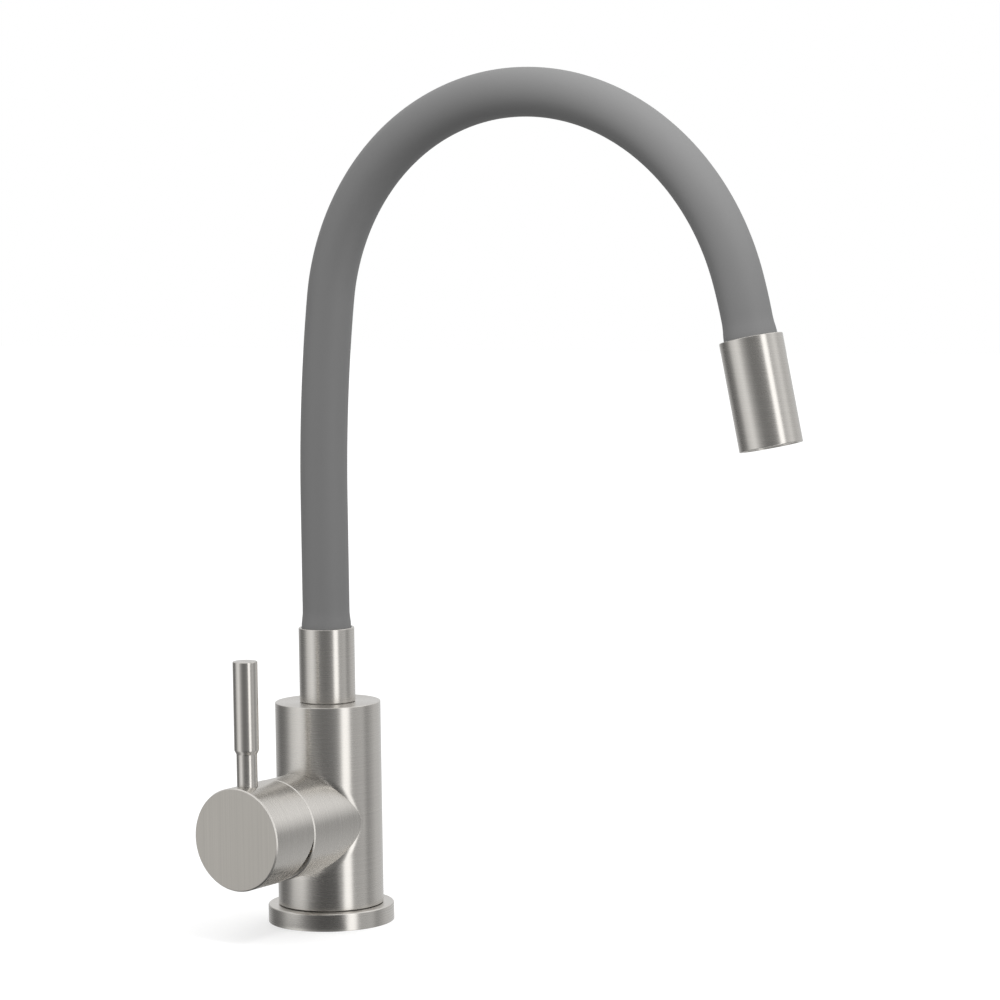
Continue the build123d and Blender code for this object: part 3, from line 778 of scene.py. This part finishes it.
# Handle: cap and lever
cap = dict(radius=21.5, skin=0.4, rear=39.6, face=65.2, cavity=18.2, cavityFloor=50.0, boss=9.0,
           bossRear=44.0, bevelFrom=64.55, bevelRadius=21.05, reliefAngle=18.5, relief=(25.8, 24.5, 2.0),
           leverHole=4.4, seat=64.6, seatTo=74.6, grubRadius=2.55, grubFromAxis=53.0,
           grubReach=(10.0, 41.0))


def reliefCutter():
    # wedge that cuts the lower half of the cap's rear face back
    fall, half, back = cap["relief"]
    rear, height = -cap["rear"], layout["spigotHeight"]
    side = [(rear, height), (rear - fall * math.tan(math.radians(cap["reliefAngle"])), height - fall),
            (rear + back, height - fall), (rear + back, height)]
    return hullObject("relief", [(x, y, z) for y in (-half, half) for x, z in side])


def capFace(polygon):
    # slot 1 on the face, in a darker copy of the steel as painted shade, 2 on the bevel, 3 inside, in a still
    # darker steel as painted shade, and 0 round the side
    x, y, z = polygon.center
    depth = cap["face"] + x / mm
    reach = math.hypot(y, z - layout["spigotHeight"] * mm) / mm
    onFace = depth < touch and reach < cap["bevelRadius"]
    onBevel = depth < cap["face"] - cap["bevelFrom"] and bevelSlope[0] < -polygon.normal.x < bevelSlope[1]
    inside = reach < cap["radius"] - cap["skin"] and not onBevel
    slot = 1 if onFace else 2 if onBevel else 3 if inside else 0
    return slot, abs(reach - cap["radius"]) < touch and abs(polygon.normal.x) < 0.02 and spigotNormal


def makeCap():
    shell = lathe("handleCap", cap, (
        (0, "bossRear"), ("boss", "bossRear", 0.3), ("boss", "cavityFloor"), ("cavity", "cavityFloor", 0.5),
        ("cavity", "rear", 0.2), ("radius", "rear", 0.25), ("radius", "bevelFrom", 0.12),
        ("bevelRadius", "face", 0.12), (0, "face"),
    ), spigot, spigotSteel, around=160, longest=2.5)
    combine(shell, reliefCutter())
    drill(shell, cap["leverHole"], cap["seat"], cap["seatTo"], moved(-layout["leverFromAxis"], 0, 0))
    drill(shell, cap["grubRadius"], *cap["grubReach"], moved(-cap["grubFromAxis"], 0, 0), around=32)
    mesh = shell.data
    paintFaces(mesh, (spigotSteel, shadedFaceSteel, edgeSteel, boreShadeSteel), 30, capFace)
    for polygon in mesh.polygons:
        if polygon.material_index == 1:
            for index in polygon.loop_indices:
                point = mesh.vertices[mesh.loops[index].vertex_index].co
                mesh.uv_layers["turned"].data[index].uv = (point.z * uvPerMetre, point.y * uvPerMetre)
    handOver(shell, "handle", "brushed_stainless", "handle_cap")


lever = dict(foot=64.62, neck=4.3, neckTop=79.4, grip=5.15, gripBottom=81.0, top=118.0, edge=0.45)


def makeLever():
    rod = lathe("leverRod", lever, (
        (0, "foot"), ("neck", "foot"), ("neck", "neckTop", 1.2), ("grip", "gripBottom", 1.0),
        ("grip", "top", "edge"), (0, "top"),
    ), moved(-layout["leverFromAxis"], 0, 0), leverSteel, around=72, longest=4.0)
    handOver(rod, "handle", "brushed_stainless", "lever_rod")


dome = dict(radius=17.2, wall=1.4, pivot=37.8, rear=38.5, front=45.4, steps=14)


def makeDome():
    # ball-shaped cover behind the cap, seen through the gap
    outline = []
    for radius, order in ((dome["radius"], 1), (dome["radius"] - dome["wall"], -1)):
        first = math.asin((dome["rear"] - dome["pivot"]) / radius)
        last = math.asin((dome["front"] - dome["pivot"]) / radius)
        angles = [first + (last - first) * step / dome["steps"] for step in range(dome["steps"] + 1)][::order]
        outline += [(radius * math.cos(angle), dome["pivot"] + radius * math.sin(angle)) for angle in angles]
    cover = lathe("domeCover", dome, outline, spigot, darkPlastic, around=96)
    handOver(cover, "mixer", "dark_plastic", "dome_cover")


makeCap()
makeLever()
makeDome()


# Spout collar
collar = dict(radius=11.9, bottom=94.65, floor=109.0, socket=10.75, skirt=11.05, skirtTop=96.0, bore=9.98,
              boreTop=100.2, thread=8.65)


def makeCollar():
    ring = lathe("spoutCollar", collar, (
        ("skirt", "bottom"), ("radius", "bottom", 0.2), ("radius", "collarTop", 0.3),
        ("socket", "collarTop", 0.2), ("socket", "floor"), ("thread", "floor"), ("thread", "boreTop"),
        ("bore", "boreTop"), ("bore", "skirtTop"), ("skirt", "skirtTop"),
    ), upright, uprightSteel, around=112, longest=4.0)
    handOver(ring, "hose_stretch_1", "brushed_stainless", "spout_collar")


makeCollar()


# Hose: silicone sleeve over a wound goose-neck over the water hose, round the CAD's route
hose = dict(
    foot=110.0,
    rise=54.8,
    arch=((690.0, 7.1), (94.0, 55.7), (100.0, 24.0), (105.0, 77.2), (220.0, 4.3)),
    bends=(64.0, 140.0, 220.0, 300.0, 380.0),
    # how far a bend is spread to either side, and how far that stays from a piece's ends
    reach=36.0,
    clear=2.0,
    sleeve=10.0,
    sleeveInner=8.5,
    sleeveStep=2.2,
    swell=0.6,
    taper=7.0,
    rim=16.2,
    socket=15.2,
    core=8.2,
    coreInner=6.6,
    coilPitch=2.6,
    coilDepth=0.4,
    ferrule=6.0,
    water=6.0,
    waterInner=4.0,
    waterStep=4.0,
    weld=0.002,
)


def alongStretch(place, heading, radius, length):
    # heading turns from +Z towards -Y
    if radius is None:
        return place + Vector((0, -math.sin(heading), math.cos(heading))) * length, heading
    centre = place + Vector((0, -math.cos(heading), -math.sin(heading))) * radius
    later = heading + length / radius
    return centre + Vector((0, math.cos(later), math.sin(later))) * radius, later


def hoseStretches():
    place, heading = Vector((0, 0, hose["foot"])), 0.0
    lengths = [(layout["collarTop"] - hose["foot"] + hose["rise"], None)]
    lengths += [(radius * math.radians(turn), radius) for radius, turn in hose["arch"]]
    lengths += [(hose["taper"] + hose["socket"], None)]
    made = []
    for length, radius in lengths:
        made.append((place, heading, length, radius))
        place, heading = alongStretch(place, heading, radius, length)
    return made


stretches = hoseStretches()
hoseLength = sum(stretch[2] for stretch in stretches)


def onHose(distance):
    for place, heading, length, radius in stretches[:-1]:
        if distance <= length:
            return alongStretch(place, heading, radius, distance)
        distance -= length
    return alongStretch(*stretches[-1][:2], None, distance)


def hoseMatrix(distance):
    # local Z along the hose, local X along +X
    point, heading = onHose(distance)
    return Matrix.Translation(point * mm) @ Matrix.Rotation(heading, 4, "X")


def makeRoute():
    # centre line as a Bezier curve whose handles follow the straights and arcs
    data = bpy.data.curves.new("hoseRoute", "CURVE")
    data.dimensions = "3D"
    data.resolution_u = 48
    spline = data.splines.new("BEZIER")
    spline.bezier_points.add(len(stretches))
    reached = 0.0
    for index in range(len(stretches) + 1):
        point, heading = onHose(reached)
        ahead = Vector((0, -math.sin(heading), math.cos(heading)))
        knot = spline.bezier_points[index]
        knot.handle_left_type = knot.handle_right_type = "FREE"
        knot.co = knot.handle_left = knot.handle_right = point * mm
        for handle, side, number in (("handle_left", -1, index - 1), ("handle_right", 1, index)):
            if 0 <= number < len(stretches):
                _, _, length, radius = stretches[number]
                pull = length / 3 if radius is None else 4 / 3 * math.tan(length / radius / 4) * radius
                setattr(knot, handle, (point + ahead * pull * side) * mm)
        if index < len(stretches):
            reached += stretches[index][2]
    return newObject("hoseRoute", data)


def bar(tree, corners, radius, depth):
    sizes = {"Vertices": corners, "Radius": radius, "Depth": depth}
    return addNode(tree, "GeometryNodeMeshCylinder", sizes, fill_type="NGON").outputs["Mesh"]


def joinedMesh(tree, *pieces):
    joined = addNode(tree, "GeometryNodeJoinGeometry")
    for piece in pieces:
        feed(joined, {0: piece})
    return joined.outputs[0]


def finishTree(tree, geometry, given):
    real = addNode(tree, "GeometryNodeRealizeInstances", {0: geometry})
    clad = addNode(tree, "GeometryNodeSetMaterial", {
        "Geometry": real.outputs[0], "Material": given["Material"]})
    addNode(tree, "NodeGroupOutput", {0: clad.outputs[0]})
    return tree


def ownPlace(tree):
    position = addNode(tree, "GeometryNodeInputPosition").outputs[0]
    return addNode(tree, "ShaderNodeSeparateXYZ", {0: position}).outputs


def makeHoseLayerTree():
    # wall of a round tube along part of a route: swollen at its two rims, or ridged like a wound strip
    tree, given = newGroup("hoseLayer", "GeometryNodeTree", {
        "Route": "Object", "Start": 0.0, "End": 0.1, "Outer": 0.01, "Inner": 0.008, "Swell": 0.0,
        "Foot Rim": 0.0, "Head Rim": 1.0, "Taper": 0.007, "Ridge Depth": 0.0, "Ridge Pitch": 0.003,
        "Step": 0.002, "Around": 64, "Material": "Material"})
    route = addNode(tree, "GeometryNodeObjectInfo", {"Object": given["Route"]}).outputs["Geometry"]
    span = maths(tree, "SUBTRACT", given["End"], given["Start"])
    rows = maths(tree, "ADD", maths(tree, "ROUND", maths(tree, "DIVIDE", span, given["Step"])), 1.0)
    columns = maths(tree, "ADD", given["Around"], 1.0)
    x, y, _ = ownPlace(tree)
    turn = maths(tree, "MULTIPLY", maths(tree, "ADD", x, 0.5), 2 * math.pi)
    share = maths(tree, "ADD", y, 0.5)

    def sheet(rowCount):
        sizes = {"Size X": 1.0, "Size Y": 1.0, "Vertices X": columns, "Vertices Y": rowCount}
        return addNode(tree, "GeometryNodeMeshGrid", sizes).outputs["Mesh"]

    def wrapped(geometry, distance, radius):
        # a flat sheet laid round the route, at this distance along it and this radius
        sample = addNode(tree, "GeometryNodeSampleCurve", {
            "Curves": route, "Length": distance}, mode="LENGTH").outputs
        second = vectorMaths(tree, "CROSS_PRODUCT", sample["Tangent"], (1, 0, 0))
        where = sample["Position"]
        for arm, wave in (((1, 0, 0), "COSINE"), (second, "SINE")):
            reach = maths(tree, "MULTIPLY", maths(tree, wave, turn), radius)
            where = vectorMaths(tree, "ADD", where, vectorMaths(tree, "SCALE", arm, reach))
        return addNode(tree, "GeometryNodeSetPosition", {"Geometry": geometry, "Position": where}).outputs[0]

    def outerRadius(distance):
        fromRims = [maths(tree, "DIVIDE", maths(tree, "SUBTRACT", *ends), given["Taper"])
                    for ends in ((distance, given["Foot Rim"]), (given["Head Rim"], distance))]
        inputs = {0: maths(tree, "MINIMUM", *fromRims), "To Min": 1.0, "To Max": 0.0}
        near = addNode(tree, "ShaderNodeMapRange", inputs, interpolation_type="SMOOTHSTEP")
        turns = maths(tree, "MULTIPLY", maths(tree, "DIVIDE", distance, given["Ridge Pitch"]), math.pi)
        ridge = maths(tree, "ABSOLUTE", maths(tree, "SINE", turns))
        valley = maths(tree, "MULTIPLY", maths(tree, "SUBTRACT", 1.0, ridge), given["Ridge Depth"])
        radius = maths(tree, "MULTIPLY_ADD", near.outputs[0], given["Swell"], given["Outer"])
        return maths(tree, "SUBTRACT", radius, valley)

    def flipped(geometry):
        return addNode(tree, "GeometryNodeFlipFaces", {"Mesh": geometry}).outputs[0]

    def endRing(distance):
        wall = maths(tree, "SUBTRACT", outerRadius(distance), given["Inner"])
        radius = maths(tree, "MULTIPLY_ADD", share, wall, given["Inner"])
        return wrapped(sheet(2), distance, radius)

    distance = maths(tree, "MULTIPLY_ADD", share, span, given["Start"])
    joined = joinedMesh(tree, wrapped(sheet(rows), distance, outerRadius(distance)),
                        flipped(wrapped(sheet(rows), distance, given["Inner"])),
                        endRing(given["Start"]), flipped(endRing(given["End"])))
    merged = addNode(tree, "GeometryNodeMergeByDistance", {"Geometry": joined, "Distance": hose["weld"] * mm})
    return finishTree(tree, merged.outputs[0], given)


def makeHose():
    # each piece spans one of the bend places; its ends lie midway between places
    tree, route = makeHoseLayerTree(), makeRoute()
    bends, count = hose["bends"], len(hose["bends"])
    ends = [0.0] + [(first + second) / 2 for first, second in zip(bends, bends[1:])] + [hoseLength]
    rims = {"Foot Rim": hose["rim"], "Head Rim": hoseLength - hose["socket"]}
    layers = (
        ("hoseSleeve", "hose_sleeve", "grey_silicone", 0.0, dict(
            Outer=hose["sleeve"], Inner=hose["sleeveInner"], Swell=hose["swell"], Taper=hose["taper"],
            Step=hose["sleeveStep"], Around=72, Material=greySilicone)),
        ("gooseneckTube", "gooseneck_tube", "gooseneck_steel", hose["ferrule"], dict(
            Outer=hose["core"], Inner=hose["coreInner"], Step=hose["coilPitch"] / 4, Around=32,
            Material=gooseneckSteel, **{"Ridge Depth": hose["coilDepth"], "Ridge Pitch": hose["coilPitch"]})),
        ("waterHose", "water_hose", "clear_hose", 0.0, dict(
            Outer=hose["water"], Inner=hose["waterInner"], Step=hose["waterStep"], Around=32,
            Material=waterHosePlastic)),
    )
    for index, bend in enumerate(bends):
        reach = min(hose["reach"], bend - ends[index] - hose["clear"], ends[index + 1] - bend - hose["clear"])
        start, finish = onHose(bend - reach)[0] * mm, onHose(bend + reach)[0] * mm
        for name, nodeName, slotName, short, values in layers:
            low = ends[index] + (short if index == 0 else 0.0)
            high = ends[index + 1] - (short if index == count - 1 else 0.0)
            sizes = dict(values, Start=low, End=high, **rims)
            sizes = {key: value * mm if isinstance(value, float) else value for key, value in sizes.items()}
            piece = grown(f"{name}{index + 1}", tree, Route=route, **sizes)
            shaded(piece.data, 45)
            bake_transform(piece)
            numbers = (index + 1, index + 2) if index == count - 1 else (index + 1,)
            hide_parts(*(f"{nodeName}_{number}" for number in numbers))
    bpy.data.objects.remove(route)
    print("hose made,", round(hoseLength, 1), "mm")


makeHose()


# Outlet head and aerator
head = dict(radius=12.55, length=43.2, socket=10.75, socketDepth=16.2, thread=8.65, adaptorEnd=24.0,
            bore=11.0, edge=0.3)
headPlace = hoseMatrix(hoseLength - hose["socket"])
aerator = dict(radius=10.95, start=28.5, end=42.2, inner=9.45, lip=7.95, lipFrom=41.2, screen=9.3,
               screenStart=38.0, screenEnd=41.1, pitch=2.6, hole=1.15, rows=3, notches=8,
               notch=(1.5, 1.6, 0.7), notchRadius=10.75)


def makeHead():
    shell = lathe("outletHead", head, (
        ("socket", 0, 0.2), ("radius", 0, "edge"), ("radius", "length", "edge"), ("bore", "length", 0.2),
        ("bore", "adaptorEnd"), ("thread", "adaptorEnd"), ("thread", "socketDepth"),
        ("socket", "socketDepth"),
    ), headPlace, uprightSteel, around=112, longest=4.0)
    handOver(shell, "outlet", "brushed_stainless", "outlet_head")


def makeScreenTree():
    # round plate with a honeycomb of six-sided holes
    tree, given = newGroup("honeycombScreen", "GeometryNodeTree", {
        "Radius": 0.009, "Thickness": 0.003, "Hole": 0.001, "Pitch": 0.0026, "Rows": 3,
        "Material": "Material"})
    span = maths(tree, "MULTIPLY", given["Rows"], 2.0)
    count = maths(tree, "ADD", span, 1.0)
    grid = addNode(tree, "GeometryNodeMeshGrid", {
        "Size X": span, "Size Y": span, "Vertices X": count, "Vertices Y": count})
    column, row, _ = ownPlace(tree)
    outside = maths(tree, "GREATER_THAN", maths(tree, "ABSOLUTE", maths(tree, "ADD", column, row)),
                    maths(tree, "ADD", given["Rows"], 0.5))
    cells = addNode(tree, "GeometryNodeDeleteGeometry", {
        "Geometry": grid.outputs["Mesh"], "Selection": outside}, domain="POINT")
    slanted = maths(tree, "MULTIPLY_ADD", row, 0.5, column), maths(tree, "MULTIPLY", row, math.sqrt(3) / 2)
    spread = addNode(tree, "ShaderNodeCombineXYZ", {
        axis: maths(tree, "MULTIPLY", place, given["Pitch"]) for axis, place in enumerate(slanted)})
    placed = addNode(tree, "GeometryNodeSetPosition", {
        "Geometry": cells.outputs[0], "Position": spread.outputs[0]})
    depth = maths(tree, "MULTIPLY", given["Thickness"], 3.0)
    holes = addNode(tree, "GeometryNodeInstanceOnPoints", {
        "Points": placed.outputs[0], "Instance": bar(tree, 6, given["Hole"], depth),
        "Rotation": (0, 0, math.radians(30))})
    real = addNode(tree, "GeometryNodeRealizeInstances", {0: holes.outputs[0]})
    pierced = addNode(tree, "GeometryNodeMeshBoolean", {
        "Mesh 1": bar(tree, 96, given["Radius"], given["Thickness"]), "Mesh 2": real.outputs[0]},
        operation="DIFFERENCE")
    return finishTree(tree, pierced.outputs["Mesh"], given)


def makeNotchTree():
    # small blocks round a circle, to cut key notches
    tree, given = newGroup("keyNotches", "GeometryNodeTree", {
        "Count": 8, "Radius": 0.01, "Size": "Vector", "Material": "Material"})
    circle = addNode(tree, "GeometryNodeMeshCircle", {"Vertices": given["Count"], "Radius": given["Radius"]})
    block = addNode(tree, "GeometryNodeMeshCube", {"Size": given["Size"]})
    share = maths(tree, "DIVIDE", addNode(tree, "GeometryNodeInputIndex").outputs[0], given["Count"])
    turn = addNode(tree, "ShaderNodeCombineXYZ", {2: maths(tree, "MULTIPLY", share, 2 * math.pi)})
    blocks = addNode(tree, "GeometryNodeInstanceOnPoints", {
        "Points": circle.outputs["Mesh"], "Instance": block.outputs["Mesh"], "Rotation": turn.outputs[0]})
    return finishTree(tree, blocks.outputs[0], given)


def makeAerator():
    ring = lathe("aeratorHousing", aerator, (
        ("inner", "start"), ("radius", "start", 0.2), ("radius", "end", 0.3), ("lip", "end", 0.3),
        ("lip", "lipFrom"), ("inner", "lipFrom"),
    ), upright, chromeTrim, around=96)
    size = [length * mm for length in aerator["notch"]]
    notches = grown("notches", makeNotchTree(), Count=aerator["notches"], Size=size,
                    Radius=aerator["notchRadius"] * mm, Material=chromeTrim)
    notches.data.transform(moved(0, 0, aerator["end"]))
    combine(ring, notches)
    ring.data.transform(headPlace)
    shaded(ring.data, 30)
    handOver(ring, "outlet", "chrome_trim", "aerator_housing")
    thickness = aerator["screenEnd"] - aerator["screenStart"]
    screen = grown("aeratorMesh", makeScreenTree(), Radius=aerator["screen"] * mm, Thickness=thickness * mm,
                   Hole=aerator["hole"] * mm, Pitch=aerator["pitch"] * mm, Rows=aerator["rows"],
                   Material=whitePlastic)
    screen.data.transform(headPlace @ moved(0, 0, (aerator["screenStart"] + aerator["screenEnd"]) / 2))
    shaded(screen.data, 25)
    handOver(screen, "outlet", "white_plastic", "aerator_mesh")


makeHead()
makeAerator()


# Fixing kit under the worktop
fixing = dict(studRoot=3.42, studOuter=4.0, studTop=23.5, studBottom=-60.0, pitch=1.25, plateRadius=24.0,
              plateEdge=0.35, edgeAngle=50, slotHalf=14.5, slotReach=(-2.0, 29.0), rubber=3.0, steel=2.0,
              hole=4.3, nutFlats=12.0, nutLength=20.0, nutHole=4.05, nutSpare=0.1, nutChamfer=(1.0, 0.6),
              past=1.0)     # how far a cutter reaches past a face


def makeThreadTree():
    # threaded bar standing on the origin: a root bar with a ridge wound round it
    tree, given = newGroup("threadedBar", "GeometryNodeTree", {
        "Length": 0.08, "Pitch": 0.00125, "Outer": 0.004, "Root": 0.0034, "Material": "Material"})

    def raised(geometry, height):
        shift = addNode(tree, "ShaderNodeCombineXYZ", {2: height}).outputs[0]
        return addNode(tree, "GeometryNodeTransform", {"Geometry": geometry, "Translation": shift}).outputs[0]

    run = maths(tree, "SUBTRACT", given["Length"], maths(tree, "MULTIPLY", given["Pitch"], 2.0))
    winding = addNode(tree, "GeometryNodeCurveSpiral", {
        "Resolution": 24, "Rotations": maths(tree, "DIVIDE", run, given["Pitch"]),
        "Start Radius": given["Root"], "End Radius": given["Root"], "Height": run})
    lifted = raised(winding.outputs[0], given["Pitch"])
    level = addNode(tree, "GeometryNodeSetCurveNormal", {0: lifted}, mode="Z_UP")
    profile = addNode(tree, "GeometryNodeCurvePrimitiveCircle", {
        "Resolution": 4, "Radius": maths(tree, "SUBTRACT", given["Outer"], given["Root"])}, mode="RADIUS")
    ridge = addNode(tree, "GeometryNodeCurveToMesh", {
        "Fill Caps": True, "Curve": level.outputs[0], "Profile Curve": profile.outputs[0]})
    middle = maths(tree, "MULTIPLY", given["Length"], 0.5)
    core = raised(bar(tree, 48, given["Root"], given["Length"]), middle)
    return finishTree(tree, joinedMesh(tree, core, ridge.outputs[0]), given)


def clampPlate(name, top, thickness, material):
    # disc with a slot for the hoses, open to one side, and a hole for the stud
    foot, below, above = top - thickness, top - thickness - fixing["past"], top + fixing["past"]
    corners = ((0, foot), ("plateRadius", foot), ("plateRadius", top), (0, top))
    plate = lathe(name, fixing, corners, upright, material, around=96)
    sides = (-fixing["slotHalf"], fixing["slotHalf"])
    slot = [(x, y, z) for x in fixing["slotReach"] for y in sides for z in (below, above)]
    combine(plate, hullObject("slot", slot))
    drill(plate, fixing["hole"], below, above, moved(layout["studX"], 0, 0))
    # its finish reads no UV map
    plate.data.uv_layers.remove(plate.data.uv_layers["turned"])
    edges = plate.modifiers.new("edges", "BEVEL")
    edges.width = fixing["plateEdge"] * mm
    edges.segments = 2
    edges.limit_method = "ANGLE"
    edges.angle_limit = math.radians(fixing["edgeAngle"])
    cleaned(workedIn(plate))
    shaded(plate.data, 40)
    return plate


def makeFixing():
    length = fixing["studTop"] - fixing["studBottom"]
    stud = grown("fixingStud", makeThreadTree(), Length=length * mm, Pitch=fixing["pitch"] * mm,
                 Outer=fixing["studOuter"] * mm, Root=fixing["studRoot"] * mm, Material=zincSteel)
    stud.data.transform(moved(layout["studX"], 0, fixing["studBottom"]))
    shaded(stud.data, 30)
    handOver(stud, "mixer", "plated_steel", "fixing_stud")
    top = -layout["worktop"]
    kinds = (("rubber", blackRubber, "black_rubber"), ("steel", zincSteel, "plated_steel"))
    for kind, material, slotName in kinds:
        plate = clampPlate(kind + "Washer", top, fixing[kind], material)
        handOver(plate, "mixer", slotName, kind + "_horseshoe_washer")
        top -= fixing[kind]
    # the nut's six flats are cut off a bar with chamfered ends
    place = moved(layout["studX"], 0, 0)
    corner = fixing["nutFlats"] / math.sqrt(3)
    outer = corner + fixing["nutSpare"]
    inset, slope = fixing["nutChamfer"]
    foot = top - fixing["nutLength"]
    below, above = foot - fixing["past"], top + fixing["past"]
    nut = lathe("fixingNut", fixing, (
        (0, foot), (outer - inset, foot), (outer, foot + slope), (outer, top - slope),
        (outer - inset, top), (0, top),
    ), place, turnedBrass, around=96)
    sixSided = ((0, below), (corner, below), (corner, above), (0, above))
    combine(nut, lathe("flats", fixing, sixSided, place, around=6), "INTERSECT")
    drill(nut, fixing["nutHole"], below, above, place)
    shaded(nut.data, 28)
    handOver(nut, "mixer", "brass", "fixing_nut")


makeFixing()


# Inner CAD nodes keep their shapes and take their finishes
innerFinishes = {
    "black_rubber": blackRubber,
    "plated_steel": zincSteel,
    "brass": turnedBrass,
    "cartridge_plastic": cartridgePlastic,
    "dark_plastic": darkPlastic,
    "white_plastic": whitePlastic,
    "ceramic": lappedCeramic,
}


def dressNodes():
    slots = {part["node"]: part["material_slot"] for part in frame["record"]["subparts"]}
    for name, piece in cadNodes.items():
        finishHere = innerFinishes.get(slots[name])
        if finishHere:
            piece.data.materials.clear()
            piece.data.materials.append(finishHere)


dressNodes()
print("inner parts dressed")
